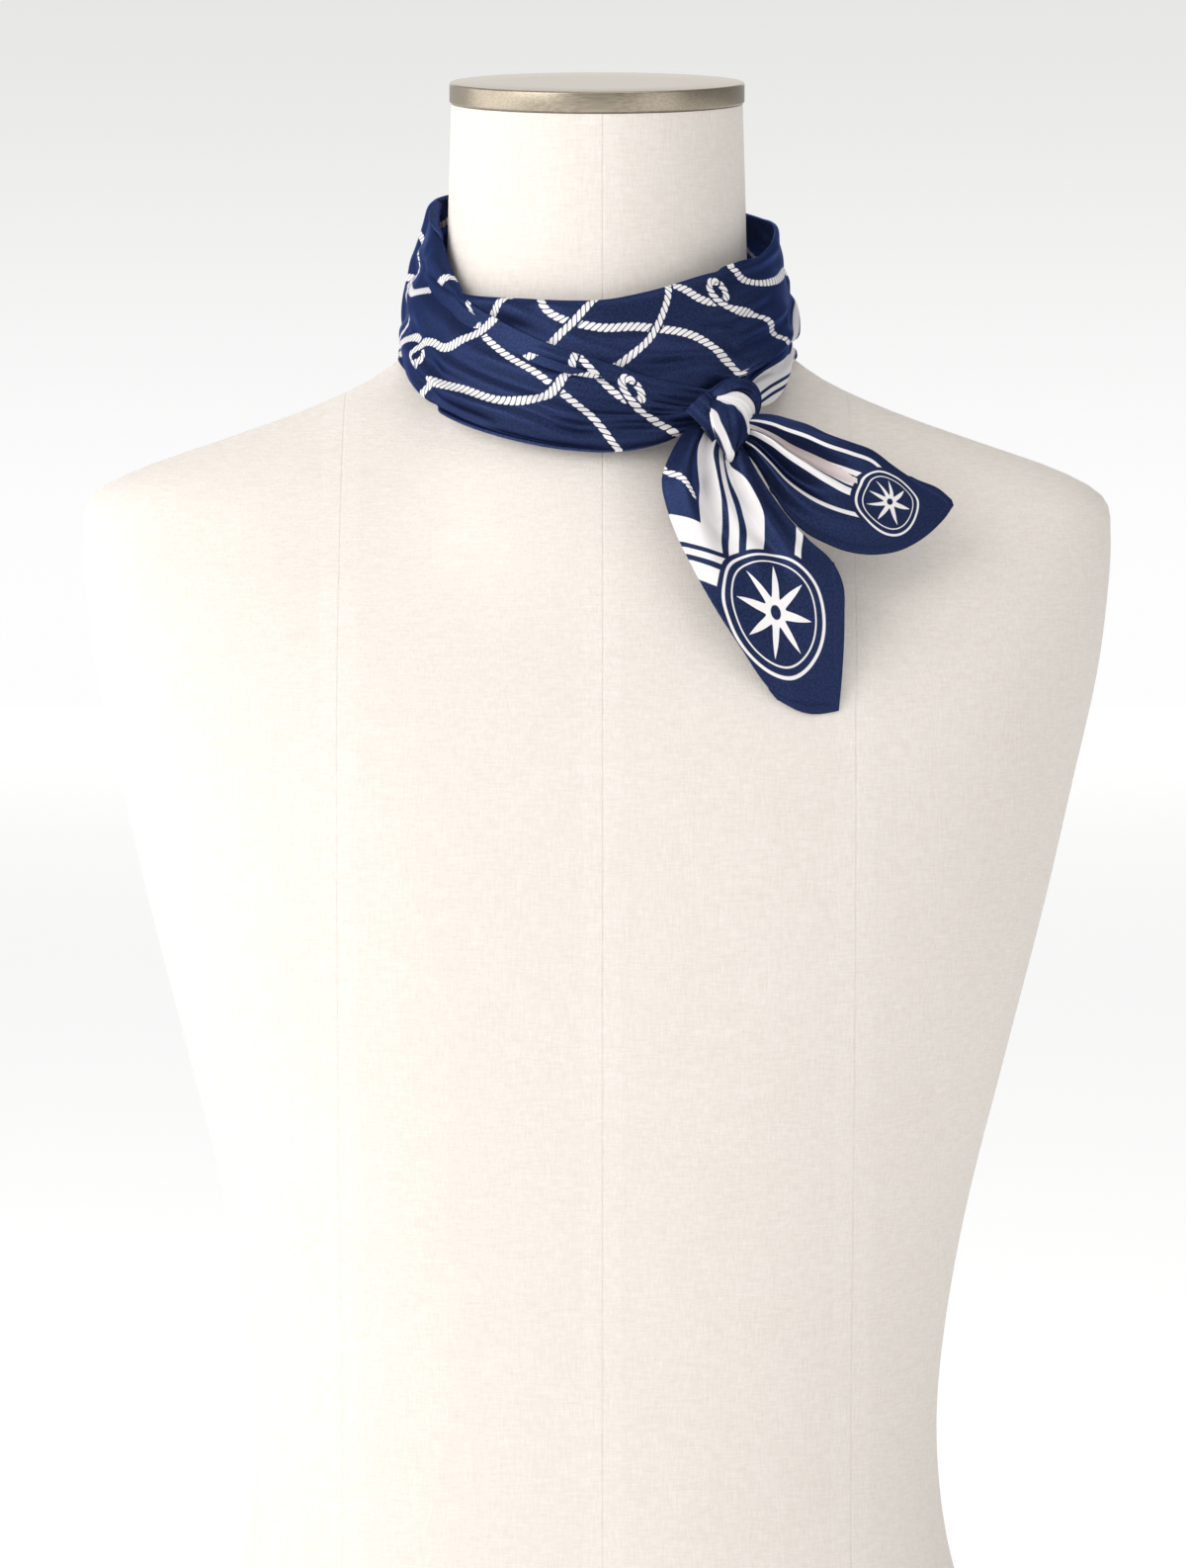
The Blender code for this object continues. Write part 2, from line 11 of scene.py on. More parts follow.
import bmesh
import bpy
import numpy as np
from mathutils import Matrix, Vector


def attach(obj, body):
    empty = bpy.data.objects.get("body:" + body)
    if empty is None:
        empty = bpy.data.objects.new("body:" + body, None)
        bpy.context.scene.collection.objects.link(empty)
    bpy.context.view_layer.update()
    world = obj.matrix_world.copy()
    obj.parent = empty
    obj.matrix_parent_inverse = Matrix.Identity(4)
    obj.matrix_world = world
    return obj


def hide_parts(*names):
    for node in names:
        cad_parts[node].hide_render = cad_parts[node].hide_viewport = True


MM = 0.001
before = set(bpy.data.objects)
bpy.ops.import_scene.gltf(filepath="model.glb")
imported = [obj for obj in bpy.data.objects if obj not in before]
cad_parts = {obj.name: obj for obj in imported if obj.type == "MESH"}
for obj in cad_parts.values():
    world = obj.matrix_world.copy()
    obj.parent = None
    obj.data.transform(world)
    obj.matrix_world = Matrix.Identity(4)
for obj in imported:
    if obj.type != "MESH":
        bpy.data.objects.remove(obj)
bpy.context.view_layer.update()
CHEAP = 1

# %% [markdown]
# ## The camera
# A long lens a few metres away keeps the form's sides upright. It looks down by a few degrees, so
# the steel disc on the neck shows as a thin ellipse and the shoulders as gentle slopes.

# %% The camera
CAMERA_AT = Vector((-1.7, -2594.9, 580.7)) * MM
CAMERA_DOWN = math.radians(3.6)
CAMERA_DISTANCE = 2600.0
FRAME_WIDTH = 510.0       # what the picture's width takes in at the neck
SENSOR_WIDTH = 36.0

# The ground and the linen are near white, and the Standard view keeps their tones.
bpy.context.scene.view_settings.view_transform = "Standard"
lens = bpy.data.cameras.new("camera")
lens.sensor_fit = "HORIZONTAL"
lens.sensor_width = SENSOR_WIDTH
lens.lens = SENSOR_WIDTH * CAMERA_DISTANCE / FRAME_WIDTH
camera = bpy.data.objects.new("camera", lens)
camera.location = CAMERA_AT
camera.rotation_euler = (math.pi / 2 - CAMERA_DOWN, 0, 0)
bpy.context.scene.collection.objects.link(camera)
bpy.context.scene.camera = camera
print("the lens is", round(lens.lens), "mm long")

# %% [markdown]
# ## Shader maths as Python
# A material is a graph of nodes, and wiring a formula by hand hides the formula. A small class
# that wraps a socket and overloads the operators lets the formula stand in the text: each sum or
# product adds its Math node. Everything else comes from one method of the finish.

# %% Fields and finishes
class Field:
    """A value that varies over a surface."""

    def __init__(self, finish, socket):
        self.finish = finish
        self.socket = socket

    def maths(self, operation, *terms):
        sockets = dict(enumerate(terms))
        return self.finish.node("ShaderNodeMath", {"operation": operation}, sockets)

    def __add__(self, other):
        return self.maths("ADD", self, other)

    def __radd__(self, other):
        return self.maths("ADD", other, self)

    def __sub__(self, other):
        return self.maths("SUBTRACT", self, other)

    def __rsub__(self, other):
        return self.maths("SUBTRACT", other, self)

    def __mul__(self, other):
        return self.maths("MULTIPLY", self, other)

    def __rmul__(self, other):
        return self.maths("MULTIPLY", other, self)

    def __truediv__(self, other):
        return self.maths("DIVIDE", self, other)

    def __pow__(self, other):
        return self.maths("POWER", self, other)

    def __abs__(self):
        return self.maths("ABSOLUTE", self)

    def least(self, other):
        return self.maths("MINIMUM", self, other)

    def most(self, other):
        return self.maths("MAXIMUM", self, other)

    def fraction(self):
        return self.maths("FRACT", self)

    def step(self, low, high):
        """0 below low, 1 above high, and a soft rise between."""
        sockets = {"Value": self, "From Min": low, "From Max": high}
        return self.finish.node("ShaderNodeMapRange", {"interpolation_type": "SMOOTHSTEP"}, sockets)

    def band(self, low, high, soft):
        """1 between low and high, 0 outside."""
        return self.step(low - soft, low + soft) * (1 - self.step(high - soft, high + soft))


class Finish:
    """A material, its nodes and the shader that they feed."""

    def __init__(self, name):
        self.material = bpy.data.materials.new(name)
        self.material.use_nodes = True
        self.tree = self.material.node_tree
        self.shader = self.tree.nodes["Principled BSDF"]

    def fill(self, socket, value):
        if isinstance(value, Field):
            self.tree.links.new(value.socket, socket)
        else:
            socket.default_value = value

    def node(self, kind, settings=None, sockets=None, output=0):
        made = self.tree.nodes.new(kind)
        for key, value in (settings or {}).items():
            setattr(made, key, value)
        for key, value in (sockets or {}).items():
            self.fill(made.inputs[key], value)
        return Field(self, made.outputs[output])

    def pair(self, uv_map):
        """The two numbers that a UV map holds at each point."""
        place = self.node("ShaderNodeUVMap", {"uv_map": uv_map})
        return [self.part(place, axis) for axis in (0, 1)]

    def place(self):
        """A point's place on its object, in metres."""
        return self.node("ShaderNodeTexCoord", output="Object")

    def part(self, place, axis):
        """One of the numbers that make up a place."""
        return self.node("ShaderNodeSeparateXYZ", {}, {0: place}, axis)

    def noise(self, place, scale, detail=2.0, rough=0.5):
        sockets = {"Vector": place, "Scale": scale, "Detail": detail, "Roughness": rough}
        return self.node("ShaderNodeTexNoise", {}, sockets)

    def stretched(self, place, factors):
        """A place with each axis scaled by its own factor."""
        settings = {"operation": "MULTIPLY"}
        return self.node("ShaderNodeVectorMath", settings, {0: place, 1: factors})

    def mix(self, share, low, high):
        """One colour where share is 0, the other where it is 1."""
        sockets = {0: share, 6: low, 7: high}
        return self.node("ShaderNodeMix", {"data_type": "RGBA"}, sockets, 2)

    def bump(self, height, distance, strength):
        sockets = {"Height": height, "Distance": distance, "Strength": strength}
        return self.node("ShaderNodeBump", {}, sockets)

    def surface(self, **sockets):
        """Fills the shader's sockets, named with _ for a space."""
        for key, value in sockets.items():
            self.fill(self.shader.inputs[key.replace("_", " ")], value)
        return self.material


# %% [markdown]
# ## Meshes from grids
# Cloth is a grid of threads, so each piece here starts as a grid of points in numpy: rows run
# along it and columns run across it. One function turns a grid into a sheet of real thickness,
# whose rim is rounded as a fold is, and hands each point's place on the flat cloth to UV maps.

# %% Grids, curves and sheets
def curve_at(rows, places):
    """Values at places, on a smooth curve through rows whose first column is the place."""
    rows = np.array(rows, float)
    rows = rows if rows[0, 0] <= rows[-1, 0] else rows[::-1]
    known, values = rows[:, 0], rows[:, 1:]
    last = len(known) - 1
    before = np.maximum(np.arange(last + 1) - 1, 0)
    after = np.minimum(np.arange(last + 1) + 1, last)
    slopes = (values[after] - values[before]) / (known[after] - known[before])[:, None]
    places = np.clip(np.ravel(places), known[0], known[-1])
    at = np.clip(np.searchsorted(known, places, side="right") - 1, 0, last - 1)
    width = (known[at + 1] - known[at])[:, None]
    t = (places - known[at])[:, None] / width
    return (
        (2 * t**3 - 3 * t**2 + 1) * values[at]
        + (t**3 - 2 * t**2 + t) * width * slopes[at]
        + (3 * t**2 - 2 * t**3) * values[at + 1]
        + (t**3 - t**2) * width * slopes[at + 1]
    )


def softened(grid, passes, axis):
    """A grid with each line of an axis averaged with its neighbours, its ends held."""
    grid = np.moveaxis(grid.copy(), axis, 0)
    for _ in range(passes):
        grid[1:-1] = (grid[:-2] + 2 * grid[1:-1] + grid[2:]) / 4
    return np.moveaxis(grid, 0, axis)


def lengths_along(points, axis):
    """How far each point of a grid lies from the grid's start, along an axis."""
    steps = np.linalg.norm(np.diff(points, axis=axis), axis=2)
    start = np.zeros_like(np.take(steps, [0], axis=axis))
    return np.concatenate([start, np.cumsum(steps, axis=axis)], axis=axis)


def run_along(path):
    """How far each point of a path lies from its start."""
    steps = np.linalg.norm(np.diff(path, axis=0), axis=1)
    return np.concatenate([[0], np.cumsum(steps)])


def unit(vectors):
    """Vectors of length 1 that point the same way."""
    return vectors / np.maximum(np.linalg.norm(vectors, axis=-1, keepdims=True), 1e-9)


def soft_step(values, low, high):
    """0 below low, 1 above high, and a soft rise between."""
    share = np.clip((values - low) / (high - low), 0, 1)
    return share * share * (3 - 2 * share)


def numbered(rows):
    """The rows with their own number as first column."""
    return [(number, *row) for number, row in enumerate(rows)]


def outward_normals(points):
    """Normals of a grid, on the side that faces away from the neck's axis. The second value is
    1 where rows and columns turn that way, and -1 where they turn the other way."""
    along = np.gradient(points, axis=0)
    across = np.gradient(points, axis=1)
    normals = unit(np.cross(along, across))
    facing = (normals[..., :2] * points[..., :2]).sum()
    side = 1 if facing > 0 else -1
    return normals * side, side


def grid_quads(number, closed=False):
    """The cells of a grid of point numbers. In a closed one the last column meets the first."""
    if closed:
        number = np.concatenate([number, number[:, :1]], 1)
    corners = [number[:-1, :-1], number[1:, :-1], number[1:, 1:], number[:-1, 1:]]
    return np.stack(corners, 2).reshape(-1, 4)


def new_object(name, points, faces, maps, finishes):
    """A mesh object from points in millimetres; maps gives each point's pair for a UV map."""
    mesh = bpy.data.meshes.new(name)
    mesh.from_pydata((np.asarray(points) * MM).tolist(), [], faces)
    corners = np.zeros(len(mesh.loops), np.int32)
    mesh.loops.foreach_get("vertex_index", corners)
    for key, pairs in maps.items():
        layer = mesh.uv_layers.new(name=key)
        layer.data.foreach_set("uv", np.asarray(pairs, np.float32)[corners].ravel())
    for finish in finishes:
        mesh.materials.append(finish)
    mesh.shade_smooth()
    made = bpy.data.objects.new(name, mesh)
    bpy.context.scene.collection.objects.link(made)
    return made


def join_points(made, distance, dissolve=False):
    """Merges the points of a mesh that meet, and turns its faces outwards."""
    shape = bmesh.new()
    shape.from_mesh(made.data)
    bmesh.ops.remove_doubles(shape, verts=shape.verts, dist=distance)
    if dissolve:
        bmesh.ops.dissolve_degenerate(shape, edges=shape.edges, dist=distance)
    bmesh.ops.recalc_face_normals(shape, faces=shape.faces)
    shape.to_mesh(made.data)
    shape.free()


def sheet_object(name, face, thickness, maps, finishes, pale=None, pale_place=None):
    """A closed sheet whose outer face is a grid. Its rim is rounded and it has no open edge.
    The second finish is that of its back, and of the cells of the face that pale marks."""
    rows, columns = face.shape[:2]
    normals, side = outward_normals(face)
    down, over = lengths_along(face, 0), lengths_along(face, 1)
    rim = np.minimum(np.minimum(down, down[-1:] - down), np.minimum(over, over[:, -1:] - over))
    share = np.clip(rim / (thickness / 2), 0, 1)
    depth = (thickness * np.sqrt(1 - (1 - share) ** 2))[..., None]
    middle = face - normals * thickness / 2
    front = (middle + normals * depth / 2).reshape(-1, 3)
    back = (middle - normals * depth / 2).reshape(-1, 3)
    number = np.arange(rows * columns).reshape(rows, columns)
    inside = number[1:-1, 1:-1].ravel()
    behind = np.arange(rows * columns)
    behind[inside] = rows * columns + np.arange(len(inside))
    points = np.concatenate([front, back[inside]])
    quads = grid_quads(number)
    if side < 0:
        quads = quads[:, ::-1]
    hidden = behind[quads][:, ::-1]
    faces = quads.tolist() + hidden.tolist()
    flat_maps = {}
    for key, pairs in maps.items():
        pairs = pairs.reshape(-1, 2)
        flat_maps[key] = np.concatenate([pairs, pairs[inside]])
    made = new_object(name, points, faces, flat_maps, finishes)
    slots = np.ones(len(faces), np.int32)
    slots[:len(quads)] = 0 if pale is None else pale[1:, 1:].ravel()
    made.data.polygons.foreach_set("material_index", slots)
    if pale is not None:
        cells = np.zeros(len(faces), bool)
        cells[:len(quads)] = pale[1:, 1:].ravel() == 1
        layer = made.data.uv_layers["flat"].data
        pairs = np.zeros(8 * len(faces), np.float32)
        layer.foreach_get("uv", pairs)
        pairs.reshape(-1, 2)[np.repeat(cells, 4)] = pale_place
        layer.foreach_set("uv", pairs)
    print(name, "has", 2 * len(faces), "triangles")
    return made


# %% [markdown]
# ## The print
# The silk is printed with white cords on navy. A cord is a line on the flat cloth, and what the
# shader needs is how near a point lies to it and how many turns of the lay have gone by. Both
# are worked out here for each point of a grid and kept in a UV map, so that the edges of the
# print stay crisp between the points. Cords that pass over others are kept in a map of their own.

# %% Cords on flat cloth
CORD_REACH = 8.0          # further than this from a cord, a point needs no distance
CORD_PITCH = 2.8          # from one strand of the lay to the next
CORD_SLANT = 0.9          # how far a strand leans forward across the cord
CORD_STEP = 1.0           # between the points of a cord's line
FAR_AWAY = 40.0


def smooth_route(points, step=CORD_STEP):
    """A smooth curve through points, read about once every step."""
    points = np.array(points, float)
    spans = np.linalg.norm(np.diff(points, axis=0), axis=1)
    places = np.concatenate([[0], np.cumsum(np.sqrt(spans))])
    rows = np.column_stack([places, points])
    count = max(int(spans.sum() / step), 4)
    return curve_at(rows, np.linspace(0, places[-1], count))


def cord_map(flat, routes):
    """For each point of the flat cloth: the distance to the nearest cord, and its turns."""
    shape = flat.shape[:2]
    flat = flat.reshape(-1, 2)
    nearest = np.full(len(flat), FAR_AWAY)
    turns = np.zeros(len(flat))
    for route in routes:
        line = smooth_route(route)
        low, high = line.min(0) - CORD_REACH, line.max(0) + CORD_REACH
        close = np.flatnonzero(((flat > low) & (flat < high)).all(1))
        if not len(close):
            continue
        start, way = line[:-1], np.diff(line, axis=0)
        size = np.linalg.norm(way, axis=1)
        gone = run_along(line)[:-1]
        away = flat[close][:, None] - start
        share = np.clip((away * way).sum(2) / size**2, 0, 1)
        off = away - share[..., None] * way
        distance = np.linalg.norm(off, axis=2)
        best = distance.argmin(1)
        pick = np.arange(len(close)), best
        side = np.sign(way[best, 0] * off[pick][:, 1] - way[best, 1] * off[pick][:, 0])
        run = gone[best] + share[pick] * size[best]
        lean = run + side * distance[pick] * CORD_SLANT
        nearer = distance[pick] < nearest[close]
        nearest[close[nearer]] = distance[pick][nearer]
        turns[close[nearer]] = lean[nearer] / CORD_PITCH
    return np.stack([nearest, turns], 1).reshape(*shape, 2)


def printed_maps(flat, cloth_place, over, under):
    """What the silk reads at each point: its place on the cloth, and the cords over and under."""
    return {
        "flat": cloth_place,
        "cords_over": cord_map(flat, over),
        "cords_under": cord_map(flat, under),
    }


# %% [markdown]
# ## Printed silk
# Silk twill has a broad, soft, coloured highlight that stays coloured at the edges of a fold.
# Some metallic share on the dyed ground gives that, and the white print has none. The navy
# ground, the white cords, the border lines beside the hem and the roundel in the corner are one
# formula of the flat place. The border lines follow the nearer of two hems, so they turn the
# corner in a mitre by themselves. The roundel is a plain eight-pointed star in rings, a design of
# this lesson's own.

# %% The silk
CORD_HALF = 1.7
STRAND_SHARE = 0.84       # how much of the lay's pitch one strand fills
STRAND_POWER = 4          # squares off the strand's outline
STRAND_EDGE = (0.75, 1.15)
PRINT_SOFT = 0.2          # softness of the print's edges
CORD_CLEAR = 0.9          # the navy left free beside a cord that passes over another
BORDER_LINES = [(19, 22), (35, 42), (45, 49), (52, 66)]
BORDER_SOFT = 0.22
ROUNDEL_AT = (31.0, 34.0)
ROUNDEL_RINGS = [(21.0, 22.4), (17.6, 18.3)]
ROUNDEL_CLEAR = 25.0
ROUNDEL_CLEAR_SOFT = 0.3
STAR_LONG = 16.0
STAR_SHORT = 4.6
STAR_POINTS = 8
STAR_HUB = 2.2
STAR_WAIST = 2.2          # draws each spoke in between the hub and its tip

NAVY = (0.0200, 0.0300, 0.083, 1)
WHITE = (0.86, 0.83, 0.82, 1)
NAVY_BEHIND = (0.035, 0.050, 0.130, 1)
WHITE_BEHIND = (0.78, 0.68, 0.65, 1)
PAINTED_SHEEN_RANGE = (0.62, 1.42)    # painted sheen: the darkest and palest glints, as shares of the navy
SILK_METAL = 0.78
SHEEN_CLOUD_SCALE = 0.35        # soft clouds of painted sheen on the navy
GLINT_SPECK_SCALE = 1.05        # and its finer painted glints
SHEEN_CLOUD_SHARE = 0.4
GLINT_SPECK_SHARE = 2.4
SHEEN_SHIFT = -0.9
GRAIN_SCALE = 2.6
TWILL_RIB = 7.2           # radians of the twill's ribs for each millimetre
RIB_SHARE = 0.35
SILK_BUMP = 0.00007
SILK_ROUGH = 0.36         # roughness, and how much the grain adds
SILK_ROUGH_GRAIN = 0.14
SILK_TINT = (0.30, 0.45, 1.0, 1)
SHEEN_TINT = (0.55, 0.65, 1.0, 1)


def cord_white(finish, uv_map):
    """The white of a laid cord, and the zone that it covers."""
    distance, turns = finish.pair(uv_map)
    strand = abs(turns.fraction() - 0.5) * 2
    outline = (strand / STRAND_SHARE) ** STRAND_POWER + (distance / CORD_HALF) ** STRAND_POWER
    covered = CORD_HALF + CORD_CLEAR
    return 1 - outline.step(*STRAND_EDGE), 1 - distance.step(covered - PRINT_SOFT, covered)


def star_white(aside, along, distance):
    """An eight-pointed star: each spoke narrows from the hub to its tip."""
    angle = along.maths("ARCTAN2", along, aside)
    turn = abs((angle * (STAR_POINTS / (2 * math.pi))).fraction() - 0.5) * 2
    reach = STAR_SHORT + (STAR_LONG - STAR_SHORT) * turn**STAR_WAIST
    inside = (reach - distance).step(-PRINT_SOFT, PRINT_SOFT)
    return inside * (distance - STAR_HUB).step(-PRINT_SOFT, PRINT_SOFT)


def print_white(finish):
    """How white the print is at each point: 0 on the navy ground, 1 on a line."""
    from_hem, from_next_hem = finish.pair("flat")
    nearer = from_hem.least(from_next_hem)
    lines = sum(nearer.band(low, high, BORDER_SOFT) for low, high in BORDER_LINES)
    aside, along = from_hem - ROUNDEL_AT[0], from_next_hem - ROUNDEL_AT[1]
    distance = (aside * aside + along * along) ** 0.5
    roundel = star_white(aside, along, distance)
    for low, high in ROUNDEL_RINGS:
        roundel = roundel + distance.band(low, high, BORDER_SOFT)
    free = distance.step(ROUNDEL_CLEAR - ROUNDEL_CLEAR_SOFT, ROUNDEL_CLEAR + ROUNDEL_CLEAR_SOFT)
    under, _ = cord_white(finish, "cords_under")
    over, covered = cord_white(finish, "cords_over")
    cords = (under * (1 - covered)).most(over)
    return (lines * free + roundel + cords).least(1)


def make_silk(name, navy, white, sheen):
    """Silk of one navy and one white, with painted sheen in clouds and specks on the navy. Its back
    is paler and has more sheen.
    """
    finish = Finish(name)
    place = finish.node("ShaderNodeUVMap", {"uv_map": "flat"})
    ink = print_white(finish)
    # Painted sheen: clouds and specks of paler and darker navy stand in for the glinting sheen of
    # the twill.
    clouds = finish.noise(place, SHEEN_CLOUD_SCALE, detail=3.0)
    glint_specks = finish.noise(place, GLINT_SPECK_SCALE, rough=0.7)
    share = clouds * SHEEN_CLOUD_SHARE + glint_specks * GLINT_SPECK_SHARE + SHEEN_SHIFT
    darkest, palest = (tuple(part * by for part in navy[:3]) + (1,) for by in PAINTED_SHEEN_RANGE)
    dark = finish.mix(share.most(0).least(1), darkest, palest)
    first, second = finish.pair("flat")
    slant = (first + second) * TWILL_RIB
    grain = finish.noise(place, GRAIN_SCALE, rough=0.7)
    height = slant.maths("SINE", slant) * RIB_SHARE + grain
    return finish.surface(
        Base_Color=finish.mix(ink, dark, white),
        Roughness=SILK_ROUGH + SILK_ROUGH_GRAIN * grain,
        Metallic=(1 - ink) * SILK_METAL,
        Normal=finish.bump(height, SILK_BUMP, strength=0.6),
        Specular_IOR_Level=0.3,
        Specular_Tint=SILK_TINT,
        Sheen_Weight=sheen,
        Sheen_Roughness=0.4,
        Sheen_Tint=SHEEN_TINT,
    )


silk = make_silk("printed_silk", NAVY, WHITE, 0.015)
silk_behind = make_silk("printed_silk_behind", NAVY_BEHIND, WHITE_BEHIND, 0.05)
print("the silk's nodes:", len(silk.node_tree.nodes))

# %% [markdown]
# ## The dress form's shape
# The form is an upright column for the neck and chest, blended with a wide lens for the
# shoulders and the body. One table of half widths at several heights is enough, and the same
# formula later tells the cloth how far out it has to lie.

# %% Sections of the form
NECK_TOP = 708.6          # height of the neck's cut, on its axis
NECK_TILT = math.radians(6.85)
TILT_FADES_AT = 610.0
FORM_SECTIONS = [
    # height, core_side, core_front, core_back, body_side, body_front, body_back, power
    (708.6, 62.2, 62.0, 61.0, 20.0, 10.0, 10.0, 2.0),
    (670.0, 63.4, 63.6, 62.6, 20.0, 10.0, 10.0, 2.0),
    (640.0, 64.2, 65.0, 65.0, 30.0, 12.0, 14.0, 2.0),
    (620.0, 65.6, 66.0, 68.5, 58.0, 15.0, 20.0, 2.0),
    (606.0, 67.0, 67.2, 73.0, 75.5, 18.0, 26.0, 2.0),
    (597.0, 68.6, 68.4, 76.5, 87.0, 23.0, 32.0, 2.1),
    (588.0, 71.0, 70.0, 80.5, 102.0, 30.0, 39.0, 2.2),
    (576.0, 76.0, 73.5, 85.5, 130.0, 41.0, 49.0, 2.3),
    (564.0, 83.0, 79.0, 90.0, 164.0, 50.0, 58.0, 2.4),
    (552.0, 91.0, 85.0, 93.5, 198.0, 58.0, 66.0, 2.6),
    (541.0, 98.0, 90.5, 96.0, 216.5, 65.0, 73.0, 2.7),
    (525.0, 108.0, 97.0, 98.0, 219.8, 76.0, 82.0, 2.6),
    (500.0, 118.0, 100.0, 99.0, 218.6, 93.0, 93.0, 2.5),
    (465.0, 118.0, 97.0, 97.0, 214.0, 111.0, 103.0, 2.4),
    (420.0, 110.0, 92.0, 92.0, 204.0, 121.0, 108.0, 2.35),
    (365.0, 100.0, 86.0, 86.0, 191.5, 124.5, 105.5, 2.3),
    (300.0, 90.0, 80.0, 80.0, 175.0, 121.0, 98.5, 2.25),
    (235.0, 80.0, 74.0, 74.0, 159.0, 112.0, 92.5, 2.2),
    (180.0, 80.0, 72.0, 72.0, 149.6, 105.5, 92.0, 2.2),
    (138.0, 80.0, 72.0, 72.0, 146.8, 104.0, 94.5, 2.2),
    (95.0, 80.0, 72.0, 72.0, 150.8, 107.0, 101.0, 2.2),
    (50.0, 80.0, 72.0, 72.0, 162.0, 112.5, 108.5, 2.2),
    (14.0, 80.0, 72.0, 72.0, 169.0, 115.5, 112.0, 2.2),
    (4.0, 80.0, 72.0, 72.0, 167.5, 114.0, 110.5, 2.2),
    (0.0, 80.0, 72.0, 72.0, 163.0, 109.5, 106.0, 2.2),
]
FORM_BLEND = 10.0


def lens_radius(angle, side, front, back, power):
    """Distance from the axis to a superellipse whose depth differs in front and behind."""
    across = np.abs(np.sin(angle)) / side
    along = np.abs(np.cos(angle)) / np.where(np.cos(angle) > 0, front, back)
    return (across**power + along**power) ** (-1 / power)


def form_radius(angle, height):
    """Distance from the neck's axis to the form, at angles in radians and at heights."""
    angle, height = np.broadcast_arrays(angle, height)
    read = curve_at(FORM_SECTIONS, height).T.reshape(-1, *height.shape)
    core_side, core_front, core_back, side, front, back, power = read
    core = lens_radius(angle, core_side, core_front, core_back, 2)
    body = lens_radius(angle, side, front, back, power)
    return (core**FORM_BLEND + body**FORM_BLEND) ** (1 / FORM_BLEND)


# %% [markdown]
# ## The wound band
# The band is one strip that goes round the neck twice, in three stretches. A table gives its
# edges and its belly at a few angles, as a tailor would note them going round with a tape. The
# strip is then pushed out until it lies clear of the form and of the turn under it. Its top
# edge is a fold, so it rolls outwards. The stretch in front and the outer stretch are one strip
# here, so no joint shows at the nape.

# %% Tables of the band
INNER_BAND = [
    # angle, top_height, top_radius, bottom_height, bottom_radius, belly
    (34.0, 585.5, 94.5, 576.5, 97.0, 2.4),
    (40.0, 590.0, 90.0, 577.5, 94.0, 2.6),
    (47.0, 597.0, 84.0, 579.0, 91.0, 2.6),
    (54.0, 602.0, 80.5, 580.5, 89.5, 2.8),
    (62.0, 606.5, 77.5, 585.0, 87.5, 3.0),
    (71.0, 612.0, 75.5, 590.5, 84.5, 3.5),
    (81.0, 619.0, 73.0, 597.5, 81.5, 4.5),
    (92.0, 627.0, 70.5, 603.0, 80.0, 5.5),
    (110.0, 635.0, 69.0, 606.0, 80.0, 6.0),
    (135.0, 643.0, 68.0, 608.0, 80.5, 6.0),
    (160.0, 649.0, 67.5, 609.0, 81.5, 6.0),
    (180.0, 652.0, 67.5, 609.0, 82.0, 6.0),
    (205.0, 653.0, 67.5, 609.0, 81.0, 5.0),
    (232.0, 651.0, 67.5, 610.0, 78.0, 3.0),
    (258.0, 646.0, 68.0, 613.0, 76.0, 2.0),
]
LONG_BAND = [
    # angle, top_height, top_radius, bottom_height, bottom_radius, belly
    (-101.5, 646.0, 68.0, 613.0, 76.0, 2.0),
    (-75.0, 636.0, 68.0, 600.0, 76.5, 2.5),
    (-50.0, 627.2, 69.2, 586.0, 77.0, 3.0),
    (-27.0, 624.8, 69.8, 579.0, 78.0, 3.5),
    (0.0, 623.8, 70.2, 575.0, 79.0, 4.0),
    (16.0, 627.4, 70.4, 577.0, 81.0, 4.5),
    (34.0, 633.9, 70.6, 587.5, 84.0, 5.0),
    (50.0, 639.2, 70.8, 598.0, 83.0, 5.0),
    (62.0, 643.2, 71.0, 604.0, 81.0, 5.0),
    (79.0, 652.0, 71.4, 611.5, 78.5, 2.6),
    (90.0, 657.0, 71.0, 621.0, 77.4, 1.4),
    (110.0, 661.0, 69.6, 628.0, 77.0, 2.0),
    (135.0, 667.0, 69.5, 630.0, 79.0, 3.0),
    (160.0, 675.0, 69.0, 631.0, 81.0, 4.0),
    (180.0, 680.0, 69.0, 631.5, 82.0, 4.5),
    (205.0, 678.0, 68.0, 628.0, 82.0, 5.0),
    (235.0, 672.5, 67.0, 618.0, 80.5, 6.5),
    (265.0, 665.5, 66.6, 607.0, 79.0, 6.2),
    (276.0, 657.0, 66.8, 599.0, 80.0, 6.6),
    (288.0, 646.8, 67.4, 590.0, 81.6, 7.0),
    (298.0, 636.5, 68.8, 584.5, 83.0, 7.0),
    (311.0, 626.7, 71.4, 578.5, 84.5, 6.5),
    (325.0, 618.0, 73.8, 571.5, 85.0, 6.0),
    (340.0, 609.2, 76.4, 566.0, 85.2, 5.5),
    (352.0, 602.6, 79.0, 563.0, 85.6, 5.0),
    (364.5, 597.2, 82.0, 562.0, 86.5, 4.5),
    (374.0, 592.6, 85.0, 564.0, 88.5, 4.0),
    (382.0, 589.2, 88.0, 568.0, 91.0, 3.4),
    (391.0, 586.0, 92.5, 573.0, 95.5, 2.8),
]
LOWER_LAYER_ENDS = 258.0  # the angle at which the long strip comes round over its own start

